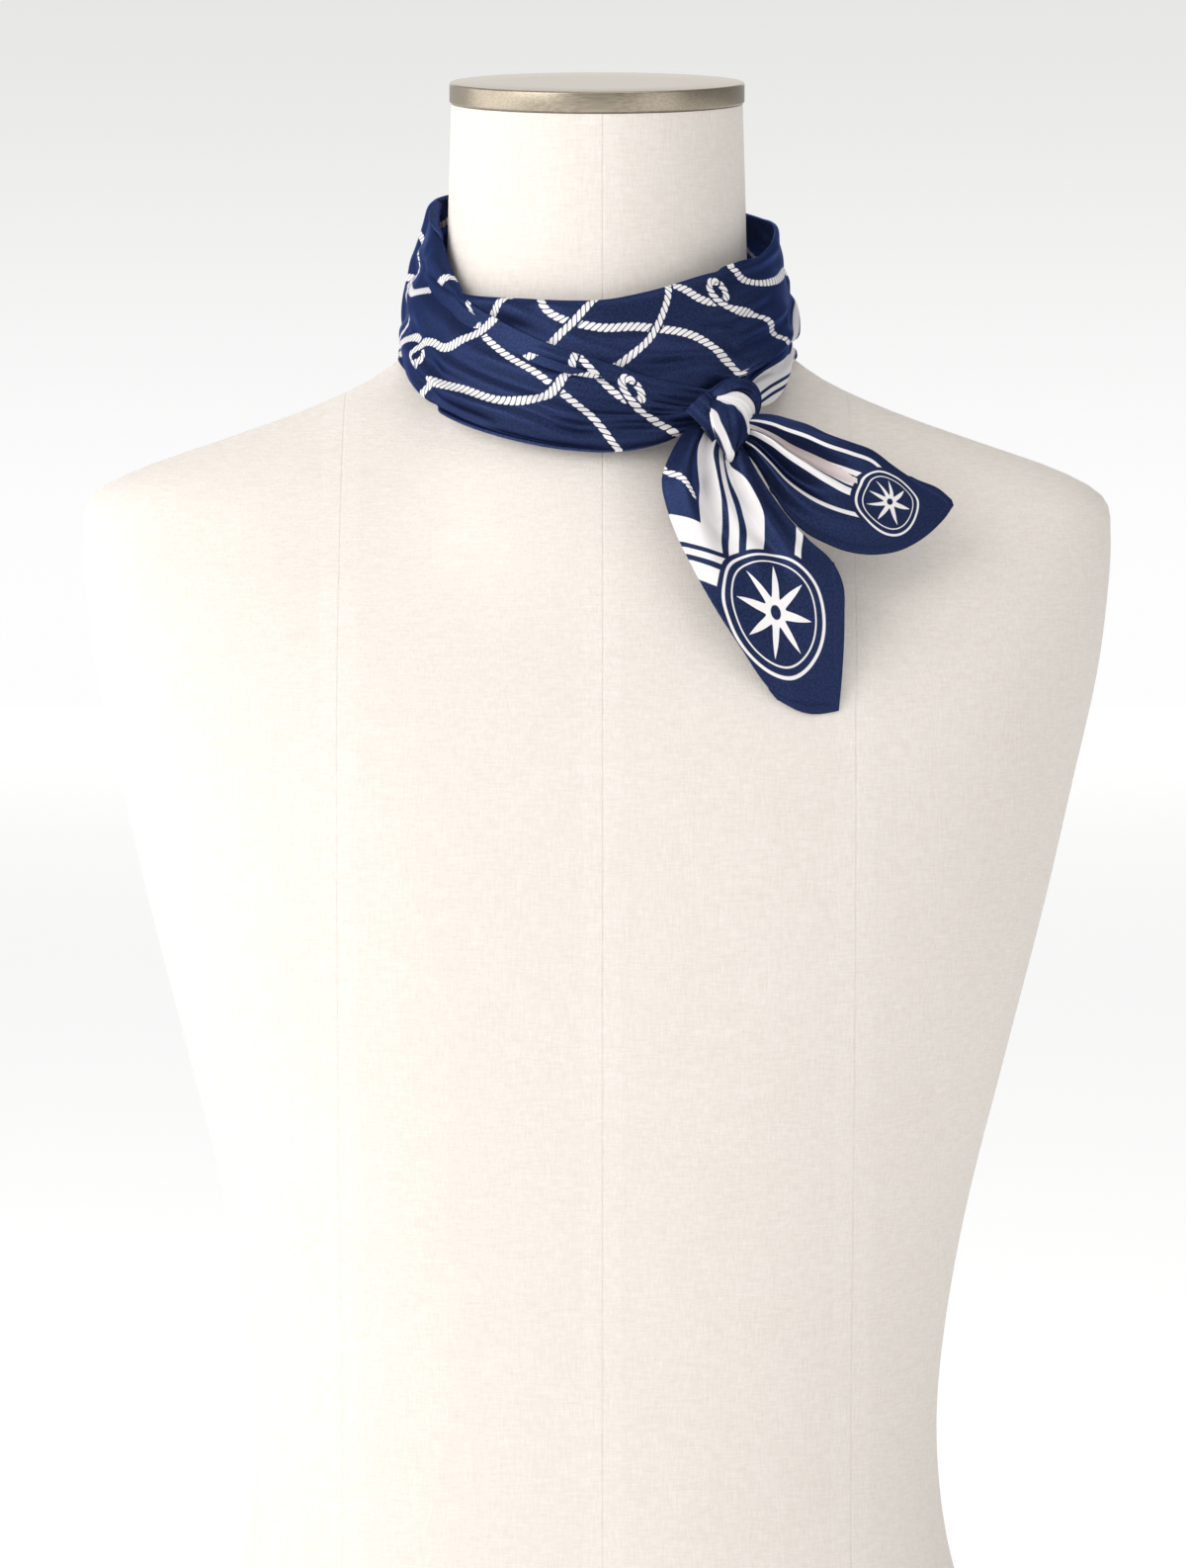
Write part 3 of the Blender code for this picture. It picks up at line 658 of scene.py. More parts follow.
# %% From a table to a strip
BAND_STEP = 0.85          # degrees between the rows of a strip
BAND_TURNS = 81           # points of a section before its columns are spread
BAND_COLUMNS = 78
BAND_THICKNESS = 1.7
BELLY_SAG = 0.35          # how far the belly hangs below the strip's middle
CLOTH_GAP = 1.0
LAYER_GAP = 2.4           # room for the creases between two turns
FORM_DROP = 1.0           # the form is read this much lower, where it is wider
PUSH_SPREAD = 2           # how many points far a push is carried on
PUSH_PASSES = 10          # and how often it is softened
EDGE_ROLL = 1.7           # how far the fold along the top edge stands out
EDGE_ROLL_AT = 0.055      # share of the way down where it stands out most
EDGE_CROWD = 0.75         # crowds the columns towards both edges, where the fold is rounded


def band_faces(table, last, under):
    """Angles, radii and heights of a strip that lies clear of the form and the strips under it."""
    first = table[0][0]
    angles = np.linspace(first, last, int((last - first) / (BAND_STEP * CHEAP)) + 1)
    turns = np.linspace(0, math.pi, BAND_TURNS)
    top, top_radius, bottom, bottom_radius, belly = curve_at(table, angles).T[..., None]
    share = (1 - np.cos(turns)) / 2
    heights = top + (bottom - top) * share
    swell = belly * np.sin(turns) * (1 + BELLY_SAG * (2 * share - 1))
    swell = swell + EDGE_ROLL * share / EDGE_ROLL_AT * np.exp(1 - share / EDGE_ROLL_AT)
    radii = top_radius + (bottom_radius - top_radius) * share + swell
    least = form_radius(np.radians(angles)[:, None], heights - FORM_DROP)
    for lower in under:
        least = np.maximum(least, reach_of(lower, angles, heights) + LAYER_GAP - CLOTH_GAP)
    push = np.maximum(least + CLOTH_GAP + BAND_THICKNESS - radii, 0)
    for axis in (0, 1):
        for _ in range(PUSH_SPREAD):
            push = np.maximum(push, np.maximum(np.roll(push, 1, axis), np.roll(push, -1, axis)))
        push = softened(push, PUSH_PASSES, axis)
    return angles, radii + push, heights


def reach_of(lower, angles, heights):
    """The radius that another strip's outer face reaches at each point, or 0 clear of it."""
    lower_angles, lower_radii, lower_heights = lower
    reach = np.zeros_like(heights)
    for i, degrees in enumerate(angles):
        for turn in (degrees, degrees - 360):
            if lower_angles[0] <= turn <= lower_angles[-1]:
                j = np.abs(lower_angles - turn).argmin()
                met = np.interp(
                    heights[i], lower_heights[j, ::-1], lower_radii[j, ::-1], left=0, right=0
                )
                reach[i] = np.maximum(reach[i], met)
    return reach


def crowded_shares(columns):
    """Shares from 0 to 1 that lie closer together near both ends."""
    even = np.linspace(0, 1, columns)
    return even - EDGE_CROWD * np.sin(2 * math.pi * even) / (2 * math.pi)


def strip_grid(faces):
    """The strip's points, with its columns spread along each section."""
    angles, radii, heights = faces
    shares = crowded_shares(BAND_COLUMNS // CHEAP)
    grid = np.zeros((len(angles), len(shares), 3))
    for i, turn in enumerate(np.radians(angles)):
        run = run_along(np.column_stack([radii[i], heights[i]]))
        radius = np.interp(shares * run[-1], run, radii[i])
        height = np.interp(shares * run[-1], run, heights[i])
        grid[i] = np.stack([radius * math.sin(turn), -radius * math.cos(turn), height], 1)
    return grid


# %% [markdown]
# ## Creases
# Silk that is pulled towards a knot puckers into fine creases, which start at the knot and die
# out along the band. Each is listed: where it starts and ends, how wide and how deep.
# It pushes the cloth in along a soft trough and lifts it a little on both sides.

# %% Creases
CREASE_SHOULDERS = 0.55   # how far the cloth lifts beside a trough, as a share of its depth
CREASE_FADE = 0.25        # share of a crease's length over which each end fades


def crease_heights(flat, creases):
    """How far creases push each point in, or lift it beside them. A row is from, to, bow, half
    width and depth."""
    total = np.zeros(flat.shape[:2])
    for u0, v0, u1, v1, bow, half, depth in creases:
        start, end = np.array((u0, v0)), np.array((u1, v1))
        way = end - start
        size = np.linalg.norm(way)
        way = way / size
        side = np.array((-way[1], way[0]))
        away = flat - start
        share = (away @ way) / size
        off = away @ side - bow * 4 * share * (1 - share)
        fade = soft_step(np.minimum(share, 1 - share), 0, CREASE_FADE)
        trough = np.exp(-((off / half) ** 2))
        shoulders = np.exp(-(((np.abs(off) - 2 * half) / half) ** 2))
        total += depth * fade * (CREASE_SHOULDERS * shoulders - trough)
    return total


def band_flat(grid):
    """Each point's place on the band laid flat: along its middle, and down from its top edge."""
    middle = grid.shape[1] // 2
    along = lengths_along(grid, 0)[:, middle:middle + 1]
    down = lengths_along(grid, 1)
    return np.stack(np.broadcast_arrays(along, down), 2)


def on_band(angles, flat, degrees, drop):
    """A place given by angle and by millimetres below the top edge, on the flat band."""
    return (float(np.interp(degrees, angles, flat[:, 0, 0])), drop)


# %% Creases of the two strips
LONG_CREASES = [
    # from degrees and drop, to degrees and drop, bow, half width, depth
    (-50, 1, 34, 45, 1.0, 3.4, 2.7),
    (393, 9, 334, 11, 2.0, 2.2, 2.0),
    (393, 11, 308, 27, -3.0, 3.4, 2.6),
    (392, 13, 344, 35, -1.5, 2.2, 2.1),
    (392, 6, 352, 4, 1.0, 1.4, 1.0),
    (391, 14, 360, 28, 0.5, 1.4, 1.5),
    (390, 9, 343, 18, 1.5, 1.7, 1.6),
    (391, 15, 370, 36, -0.5, 1.3, 1.3),
    (391, 11, 366, 19, 0.5, 1.1, 1.1),
    (360, 31, 296, 41, 3.0, 2.8, 2.4),
    (336, 43, 290, 48, -1.5, 2.6, 1.7),
    (326, 7, 276, 24, 4.0, 4.0, 2.2),
    (304, 34, 262, 52, 2.5, 3.8, 2.2),
    (286, 12, 258, 36, -2.5, 3.8, 1.6),
    (258, 40, 228, 24, 2.0, 3.8, 1.5),
    (250, 9, 210, 19, -2.0, 3.6, 1.6),
    (224, 38, 186, 33, 1.5, 3.8, 1.4),
    (206, 11, 168, 23, 2.0, 3.6, 1.5),
    (186, 36, 146, 29, -1.5, 3.8, 1.4),
    (162, 12, 124, 25, 1.5, 3.4, 1.6),
    (136, 31, 100, 17, -1.5, 3.0, 1.5),
    (114, 9, 82, 23, 1.5, 2.8, 1.5),
    (98, 26, 66, 38, -1.0, 2.4, 1.6),
    (84, 13, 40, 8, 2.5, 3.4, 1.7),
    (78, 32, 34, 38, 1.5, 2.6, 2.1),
    (62, 20, 30, 24, -1.0, 2.2, 1.5),
    (44, 45, 12, 33, 1.5, 2.2, 1.4),
    (26, 20, -26, 9, -3.0, 4.4, 1.2),
    (-16, 15, -58, 25, 2.5, 3.6, 1.2),
]
INNER_CREASES = [
    # from degrees and drop, to degrees and drop, bow, half width, depth
    (34, 4, 70, 9, 1.0, 1.1, 0.7),
    (34, 6, 62, 15, -1.0, 1.2, 0.7),
    (60, 14, 92, 20, 1.0, 1.8, 0.7),
    (88, 16, 124, 24, -1.5, 2.2, 0.7),
    (120, 18, 160, 28, 1.5, 2.6, 0.7),
    (158, 30, 200, 22, -1.0, 2.6, 0.7),
    (198, 28, 236, 30, 1.0, 2.4, 0.7),
]
CREASE_RIM = 3.5          # creases die out this near to an edge
TROUGH_LIMIT = 2.3        # no trough goes deeper, however many creases meet
COVER_MARGIN = 1.5


def under_outer_turn(angles, grid):
    """True where the strip's own outer turn lies over a point."""
    top = curve_at(LONG_BAND, angles + 360)[:, :1]
    laps = (angles + 360 <= LONG_BAND[-1][0])[:, None]
    return laps & (grid[..., 2] < top - COVER_MARGIN)


def creased(angles, grid, creases, covered=False):
    """A strip's grid with its creases, and the flat place of each point."""
    flat = band_flat(grid)
    placed = []
    for a0, d0, a1, d1, bow, half, depth in creases:
        start, end = on_band(angles, flat, a0, d0), on_band(angles, flat, a1, d1)
        placed.append((*start, *end, bow, half, depth))
    lift = crease_heights(flat, placed)
    rim = np.minimum(flat[..., 1], flat[:, -1:, 1] - flat[..., 1])
    lift = np.where(lift < 0, TROUGH_LIMIT * np.tanh(lift / TROUGH_LIMIT), lift)
    lift = np.where(covered, np.minimum(lift, 0), lift)
    lift = lift * soft_step(rim, 0, CREASE_RIM)
    return grid + outward_normals(grid)[0] * lift[..., None], flat


# %% [markdown]
# ## The cords on the band
# A nautical print is made of a few ordinary turns of rope. This one is laid out by a rule: three
# cords make a group, one that sweeps down across the band, one that climbs against it, and one
# that crosses the band with a small round loop. The groups follow one another all the way round,
# each with its own length, and every other one upside down, so that no two look alike.

# %% A group of three cords
GROUP_DEEP = 50.0         # width of the band that a group fills
SWEEP_DOWN = [
    # share of the group's length, share of its depth
    (0.04, -0.10), (0.12, 0.14), (0.27, 0.27), (0.45, 0.34), (0.61, 0.52), (0.70, 0.80),
    (0.74, 1.12),
]
SWEEP_UP = [
    # share of the group's length, share of its depth
    (0.20, 1.12), (0.27, 0.86), (0.43, 0.74), (0.60, 0.68), (0.78, 0.50), (0.90, 0.22),
    (1.02, -0.10),
]
LOOP_RADIUS = 8.6
LOOP_ADVANCE = 4.0        # how far the looped cord gets on for each radian
LOOP_FADE = 2.3           # radians over which the loop opens into a plain run
LOOP_REACH = 13.0         # radians on each side of the loop
LOOP_POINTS = 44          # points on each side of the loop
LOOP_SQUASH = 1.35        # how much longer than high the loop is
LOOP_AT = (0.93, 0.72)    # share of the group's length and depth
LOOP_SLOPE = 0.35
LOOP_BEND = 0.0085        # turns both ends of the looped cord off the band


def looped_cord(turns):
    """A cord with one round loop, round its own middle."""
    fade = LOOP_RADIUS * np.exp(-((turns / LOOP_FADE) ** 2))
    run = LOOP_ADVANCE * turns - fade * np.sin(turns) * LOOP_SQUASH
    climb = LOOP_SLOPE * run + LOOP_BEND * run * np.abs(run)
    return np.stack([run, fade * np.cos(turns) - climb], 1)


def cord_group(start, length, upside_down):
    """Routes that pass over and routes that pass under, in millimetres on the flat band."""
    sizes = np.array((length, GROUP_DEEP))
    first = np.linspace(-LOOP_REACH, 0, LOOP_POINTS)
    loop_middle = np.array(LOOP_AT) * sizes
    over = [np.array(SWEEP_DOWN) * sizes, loop_middle + looped_cord(-first[::-1])]
    under = [np.array(SWEEP_UP) * sizes, loop_middle + looped_cord(first)]
    for route in over + under:
        if upside_down:
            route[:, 1] = GROUP_DEEP - route[:, 1]
        route[:, 0] += start
    return over, under


def cord_groups(groups):
    """The routes of several groups, again as those over and those under."""
    over, under = [], []
    for group in groups:
        group_over, group_under = cord_group(*group)
        over += group_over
        under += group_under
    return over, under


LONG_GROUPS = [
    # start along the strip, length, upside down
    (-30, 138, False), (92, 122, True), (206, 150, False), (350, 128, True), (470, 136, False),
    (598, 120, True),
]
INNER_GROUPS = [(84, 118, True), (196, 134, False)]

# %% The long strip and the inner strip
NO_BORDER = 400.0         # so far from every hem that no border line shows
INNER_BORDER = 60.0       # distance from the hem where the inner strip leaves the knot
INNER_BORDER_DROP = 12.0
INNER_SQUEEZE = 2.2       # the pleats hide more than half of the cloth there
INNER_BORDER_FROM = 20.0  # where the strip comes out of the knot
INNER_BORDER_LEAN = 0.17  # how the border leaves the strip's lower edge
INNER_BORDER_BEND = 0.004


def inner_border(flat):
    """The border runs along the inner strip's lower edge and leaves it behind the neck."""
    along, drop = flat[..., 0], flat[..., 1]
    run = along - INNER_BORDER_FROM
    from_hem = INNER_BORDER - INNER_SQUEEZE * (drop - INNER_BORDER_DROP)
    from_hem = from_hem + INNER_BORDER_LEAN * run + INNER_BORDER_BEND * run**2
    return np.stack([from_hem, np.full_like(from_hem, NO_BORDER)], 2)


def no_border(flat):
    """Places so deep in the square that no border line shows."""
    return flat + NO_BORDER


def make_strip(name, grid, flat, cloth_place, groups):
    """One strip of the band, with its groups of cords."""
    print(name, "is", round(flat[-1, 0, 0]), "mm long")
    maps = printed_maps(flat, cloth_place, *cord_groups(groups))
    return sheet_object(name, grid, BAND_THICKNESS, maps, [silk, silk_behind])


inner_faces = band_faces(INNER_BAND, INNER_BAND[-1][0], [])
lower_faces = band_faces(LONG_BAND, LOWER_LAYER_ENDS, [inner_faces])
long_faces = band_faces(LONG_BAND, LONG_BAND[-1][0], [inner_faces, lower_faces])

long_angles = long_faces[0]
long_smooth = strip_grid(long_faces)
long_covered = under_outer_turn(long_angles, long_smooth)
long_grid, long_flat = creased(long_angles, long_smooth, LONG_CREASES, long_covered)
band = make_strip("scarf_band", long_grid, long_flat, no_border(long_flat), LONG_GROUPS)

inner_angles = inner_faces[0]
inner_grid, inner_flat = creased(inner_angles, strip_grid(inner_faces), INNER_CREASES)
inner_place = inner_border(inner_flat)
inner_band = make_strip("scarf_inner_band", inner_grid, inner_flat, inner_place, INNER_GROUPS)

# %% [markdown]
# ## The free corners
# Each corner is a right angle of cloth between two hems, folded so that one hem shows along an
# edge and a fold along the other. Soft flutes run from the knot and open towards the tip, and
# the cloth curls round its fold and goes back behind. A table gives the two edges in rows; each
# flute has a short table of its own; and a third table gives the distances from the two hems, so
# that the border lines follow the hems as they do on flat cloth.

# %% Tables of the lower corner
TAIL_LOWER = [
    # hem_x, hem_y, hem_z, fold_x, fold_y, fold_z, dip
    (99.6, -107.0, 454.4, 74.6, -112.0, 458.6, 3.0),
    (100.6, -109.0, 466.0, 67.4, -115.0, 467.6, 3.0),
    (101.4, -111.0, 480.0, 59.6, -117.0, 479.6, 2.0),
    (101.6, -113.0, 493.6, 51.8, -118.0, 491.6, 1.0),
    (101.0, -114.0, 506.4, 44.6, -118.0, 503.6, 0.0),
    (95.8, -114.0, 517.0, 38.2, -117.0, 515.4, 0.0),
    (86.4, -112.0, 525.6, 32.4, -115.0, 526.6, 0.0),
    (78.0, -109.0, 535.0, 27.8, -111.0, 538.4, 0.0),
    (70.6, -106.0, 545.4, 26.0, -106.0, 549.6, 0.0),
    (64.4, -101.0, 555.6, 30.6, -99.0, 561.4, 0.0),
    (61.0, -95.0, 562.0, 37.0, -89.5, 571.4, 0.0),
]
TAIL_LOWER_FLUTES = {
    # place, share of the way from hem to fold, half_width, height, lean towards the fold
    "rolled lobe": [
        (3.6, 0.90, 5.0, 0.0, 0.0), (4.6, 0.88, 6.0, 2.5, 0.0), (5.8, 0.86, 7.0, 5.5, -0.6),
        (7.0, 0.86, 7.0, 8.0, -1.2), (8.2, 0.85, 6.5, 8.5, -1.4), (9.2, 0.84, 5.0, 6.0, -1.0),
        (10.0, 0.82, 4.0, 3.0, -0.4),
    ],
    "hollow beside the lobe": [
        (4.6, 0.68, 5.0, 0.0, 0.0), (6.0, 0.68, 4.0, -2.0, 0.0), (7.5, 0.67, 3.4, -4.0, 0.0),
        (9.0, 0.66, 3.0, -3.6, 0.0), (10.0, 0.64, 3.0, -1.5, 0.0),
    ],
    "ridge beside the hollow": [
        (3.0, 0.56, 7.0, 0.0, 0.0), (4.5, 0.54, 6.0, 1.2, 0.0), (6.0, 0.52, 5.0, 2.6, 0.0),
        (7.5, 0.50, 4.2, 3.4, 0.0), (9.0, 0.48, 3.4, 3.2, 0.0), (10.0, 0.46, 3.0, 2.0, 0.0),
    ],
    "narrow hollow": [
        (4.0, 0.38, 5.0, 0.0, 0.0), (5.5, 0.36, 4.0, -1.4, 0.0), (7.0, 0.34, 3.4, -2.6, 0.0),
        (8.6, 0.33, 2.8, -2.8, 0.0), (10.0, 0.33, 2.4, -1.4, 0.0),
    ],
    "middle ridge": [
        (0.6, 0.50, 11.0, 0.0, 0.0), (2.2, 0.40, 9.0, 1.0, 0.0), (4.0, 0.30, 8.0, 2.2, 0.0),
        (6.0, 0.22, 6.0, 3.2, 0.0), (8.0, 0.19, 4.6, 3.8, 0.0), (9.4, 0.18, 3.6, 3.2, 0.0),
        (10.0, 0.18, 3.2, 2.0, 0.0),
    ],
    "wave at the lower edge": [
        (0.0, 0.62, 6.0, 1.2, 0.0), (1.4, 0.66, 7.0, 1.0, 0.0), (3.0, 0.72, 7.0, 0.0, 0.0),
    ],
}
TAIL_LOWER_CURL = [
    # place, radius, length behind, tilt
    (0, 0.7, 3.0, 0.0), (2, 0.9, 7.0, 0.0), (4, 1.3, 16.0, 8.0), (6, 1.8, 24.0, 20.0),
    (8, 2.2, 24.0, 25.0), (10, 1.6, 16.0, 25.0),
]
TAIL_LOWER_FLAT = {
    # place, then the distance at each share of the way from hem to fold
    "shares": (0, 0.3, 0.4, 0.6, 0.8, 1),
    "from the hem": [
        (0, 0, 8, 10.7, 16, 21.5, 27), (1, 0, 11, 14.7, 22, 29, 36), (2, 0, 13.5, 18, 27, 35.5, 44),
        (3, 0, 16, 21.3, 32, 42, 52), (4, 0, 19, 25, 36, 47, 59), (5, 5, 24, 29.5, 41, 53, 72),
        (6, 17, 33, 38, 48, 60, 85), (7, 25, 39, 43, 54.5, 68, 92), (8, 27, 40, 45.5, 60, 74, 84),
        (9, 28, 34, 46, 55.5, 69, 78), (10, 28, 33.6, 46.5, 56, 69, 78),
    ],
    "from the next hem": [
        (0, 0, 0, 0, 0, 0, 0), (1, 12, 11, 10.7, 10, 9, 8), (2, 26, 23.5, 22.7, 21, 18.5, 16),
        (3, 38, 34.5, 33.3, 31, 27.5, 24), (4, 49, 44.5, 43, 40, 36, 32),
        (5, 59, 54.5, 53, 50, 46.5, 41), (6, 70, 67, 66.3, 65, 62.5, 56),
        (7, 82, 79.5, 78.7, 78, 76, 71.5), (8, 95, 92.5, 91.7, 90, 89, 88),
        (9, 108, 105, 104, 102, 101, 100), (10, 120, 116.5, 115.3, 113, 112.5, 112),
    ],
}

# %% Tables of the right corner
TAIL_RIGHT = [
    # hem_x, hem_y, hem_z, fold_x, fold_y, fold_z, dip
    (148.0, -84.0, 538.6, 147.4, -84.0, 540.2, 0.0),
    (143.0, -87.6, 532.0, 140.8, -86.6, 545.6, 0.0),
    (134.8, -93.0, 525.0, 131.6, -90.0, 549.4, 0.0),
    (124.8, -98.0, 520.0, 122.6, -93.0, 555.2, 0.0),
    (113.6, -102.0, 518.4, 113.8, -95.0, 561.6, 0.0),
    (103.0, -105.0, 519.8, 104.8, -96.0, 565.2, 0.0),
    (93.6, -107.0, 523.4, 95.6, -96.0, 568.6, 0.0),
    (85.2, -107.0, 528.0, 87.4, -94.0, 572.6, 0.0),
    (77.8, -105.0, 535.4, 79.8, -92.0, 575.0, 0.0),
    (71.2, -101.0, 545.6, 73.0, -89.5, 576.6, 0.0),
    (65.6, -96.0, 555.0, 66.0, -87.0, 576.6, 0.0),
    (60.0, -91.0, 562.0, 59.6, -85.5, 575.0, 0.0),
]
TAIL_RIGHT_FLUTES = {
    # place, share of the way from hem to fold, half_width, height, lean towards the fold
    "lower flute": [
        (3.0, 0.34, 7.0, 0.0, 0.0), (4.5, 0.32, 7.0, 2.0, 0.0), (6.0, 0.30, 6.0, 4.0, -1.0),
        (8.0, 0.28, 5.0, 5.0, -1.0), (9.5, 0.28, 4.0, 4.0, 0.0), (11.0, 0.30, 3.0, 1.5, 0.0),
    ],
    "valley": [
        (5.0, 0.48, 4.0, 0.0, 0.0), (6.5, 0.46, 3.5, -3.0, 0.0), (8.0, 0.45, 3.0, -4.0, 0.0),
        (9.5, 0.45, 2.5, -3.0, 0.0), (11.0, 0.46, 2.5, -1.0, 0.0),
    ],
    "middle flute": [
        (4.2, 0.58, 5.0, 0.0, 0.0), (5.5, 0.57, 4.5, 3.0, 1.0), (7.0, 0.57, 4.0, 5.0, 2.0),
        (8.5, 0.58, 3.5, 5.5, 2.0), (10.0, 0.60, 3.0, 4.0, 1.0), (11.0, 0.60, 3.0, 2.0, 0.0),
    ],
    "hollow": [
        (4.2, 0.73, 6.0, 0.0, 0.0), (5.2, 0.74, 5.6, -3.4, 0.0), (6.4, 0.75, 5.0, -7.0, 0.0),
        (7.8, 0.76, 4.2, -7.4, 0.0), (9.2, 0.77, 3.0, -4.0, 0.0), (10.4, 0.78, 2.5, 0.0, 0.0),
    ],
    "upper lobe": [
        (2.6, 0.92, 6.0, 0.0, 0.0), (4.0, 0.92, 5.5, 1.2, 0.0), (6.0, 0.92, 4.6, 3.6, -1.0),
        (8.0, 0.93, 3.8, 4.2, -1.4), (10.0, 0.93, 3.0, 2.6, -0.6), (11.0, 0.92, 3.0, 1.0, 0.0),
    ],
}
TAIL_RIGHT_CURL = [
    # place, radius, length behind, tilt
    (0, 0.3, 0.4, 0.0), (2, 0.4, 1.0, 0.0), (3.5, 1.2, 6.0, 20.0), (5, 1.8, 13.0, 35.0),
    (8, 2.2, 16.0, 40.0), (11, 1.2, 9.0, 40.0),
]
TAIL_RIGHT_FLAT = {
    # place, then the distance at each share of the way from hem to fold
    "shares": (0, 0.36, 0.65, 0.83, 1),
    "from the hem": [
        (0, 0, 1, 2, 2, 2), (1, 0, 5.5, 10, 13, 16), (2, 0, 11, 20, 25, 30),
        (3, 0, 17.5, 32, 39, 46), (4, 0, 20.5, 43, 53, 61), (5, 0, 20.5, 49, 65, 76),
        (6, 0, 20.5, 47, 66, 80), (8, 0, 20.5, 46, 66, 82), (9, 4, 21, 46, 66, 82),
        (10, 8, 22, 46, 66, 82), (11, 10, 23, 46, 66, 82),
    ],
    "from the next hem": [
        (0, 2, 1.5, 1, 0.5, 0), (1, 12, 9, 7, 3.5, 0), (2, 24, 19, 15, 9, 3),
        (3, 39, 33, 28, 18, 9), (4, 54, 47.5, 42, 27, 13), (5, 66, 60, 54, 30, 14),
        (6, 76, 70, 62, 31, 14), (7, 85, 79, 68, 31, 14), (8, 94, 87, 74, 31, 14),
        (9, 103, 96, 82, 31, 14), (10, 110, 103, 88, 31, 14), (11, 116, 109, 92, 31, 14),
    ],
}
TAIL_RIGHT_HOLLOW = [
    # place, shares between which the pale back of the cloth shows
    (4.7, 0.665, 0.715), (5.3, 0.645, 0.775), (6.0, 0.635, 0.805), (6.6, 0.635, 0.81),
    (7.4, 0.64, 0.81), (9.0, 0.64, 0.81), (10.6, 0.65, 0.80),
]
HOLLOW_PLACE = (59.0, 400.0)  # the wide stripe, seen from behind

# %% Building a corner
TAIL_ROWS = 150
TAIL_COLUMNS = 110
TAIL_BEHIND = 26          # columns round the fold and behind
TAIL_THICKNESS = 0.9
LEAST_CURL = 0.1          # no curl is tighter or shorter
HEM_WIDTH = 4.0
HEM_LIFT = 0.45           # the hem is three layers of cloth
HEM_STEP = (HEM_WIDTH - 0.3, HEM_WIDTH + 0.4)    # where the extra layers end
BEHIND_RATES = (1, -0.3)  # how both distances go on behind the fold


def fluted(grid, places, shares, flutes):
    """The grid pushed out along each flute, whose crest may lean to one side."""
    out = outward_normals(grid)[0]
    across = unit(np.gradient(grid, axis=1))
    width = lengths_along(grid, 1)[:, -1:]
    lift, lean = np.zeros(grid.shape[:2]), np.zeros(grid.shape[:2])
    for table in flutes.values():
        at, half, height, tilt = curve_at(table, places).T[..., None]
        within = (places[:, None] >= table[0][0]) & (places[:, None] <= table[-1][0])
        bell = np.exp(-(((shares - at) * width / half) ** 2)) * within
        lift += height * bell
        lean += tilt * bell
    return grid + out * lift[..., None] + across * lean[..., None]


def curled(grid, plane, places, curl):
    """The grid with more columns, which go round its fold and back behind it. They turn in the
    corner's own plane, so that a steep flute at the fold doesn't send them through the front."""
    radius, behind, tilt = curve_at(curl, places).T[..., None]
    radius, behind = np.maximum(radius, LEAST_CURL), np.maximum(behind, LEAST_CURL)
    tilt = np.radians(tilt)[..., None]
    across = unit(plane[:, -1:] - plane[:, -3:-2])
    out = outward_normals(plane)[0][:, -1:]
    run = np.linspace(0, 1, TAIL_BEHIND // CHEAP + 1)[1:] * (math.pi * radius + behind)
    turn = np.minimum(run / radius, math.pi)[..., None]
    straight = np.maximum(run - math.pi * radius, 0)[..., None]
    radius = radius[..., None]
    extra = grid[:, -1:] + across * radius * np.sin(turn) - out * radius * (1 - np.cos(turn))
    extra = extra - (across * np.cos(tilt) + out * np.sin(tilt)) * straight
    return np.concatenate([grid, extra], 1), run


def flat_places(cut, places, shares, run):
    """Each point's distances from the two hems of the square."""
    pairs = []
    for key, rate in zip(("from the hem", "from the next hem"), BEHIND_RATES):
        read = curve_at(cut[key], places)
        line = np.array([
            curve_at(np.column_stack([cut["shares"], row]), shares)[:, 0] for row in read
        ])
        pairs.append(np.concatenate([line, line[:, -1:] + rate * run], 1))
    return np.stack(pairs, 2)


def tail_grid(rows, flutes, curl, cut):
    """A corner's face, the flat place of each point, and each column's share."""
    places = np.linspace(0, len(rows) - 1, TAIL_ROWS // CHEAP)
    shares = np.linspace(0, 1, TAIL_COLUMNS // CHEAP)
    read = curve_at(numbered(rows), places)
    hem, fold = read[:, None, 0:3], read[:, None, 3:6]
    radius = curve_at(curl, places)[:, :1, None]
    fold = fold - unit(fold - hem) * radius
    grid = hem + (fold - hem) * shares[None, :, None]
    grid[..., 2] -= read[:, 6:7] * np.sin(math.pi * shares)
    plane = grid
    grid = fluted(plane, places, shares, flutes)
    grid, run = curled(grid, plane, places, curl)
    flat = flat_places(cut, places, shares, run)
    lift = HEM_LIFT * (1 - soft_step(flat.min(2), *HEM_STEP))
    grid = grid + outward_normals(grid)[0] * lift[..., None]
    return grid, flat, places, shares


def make_tail(name, grid, flat, over, pale=None):
    """One free corner, with its cords. Its pale cells show the back of the wide stripe."""
    maps = printed_maps(flat, flat, over, [])
    finishes = [silk, silk_behind]
    return sheet_object(name, grid, TAIL_THICKNESS, maps, finishes, pale, HOLLOW_PLACE)


def hollow_cells(grid, places, shares):
    """1 where the pale back of the cloth shows, 0 elsewhere."""
    first, last = TAIL_RIGHT_HOLLOW[0][0], TAIL_RIGHT_HOLLOW[-1][0]
    low, high = curve_at(TAIL_RIGHT_HOLLOW, places).T[..., None]
    along = ((places > first) & (places < last))[:, None]
    pale = np.zeros(grid.shape[:2], int)
    pale[:, :len(shares)] = along & (shares > low) & (shares < high)
    return pale


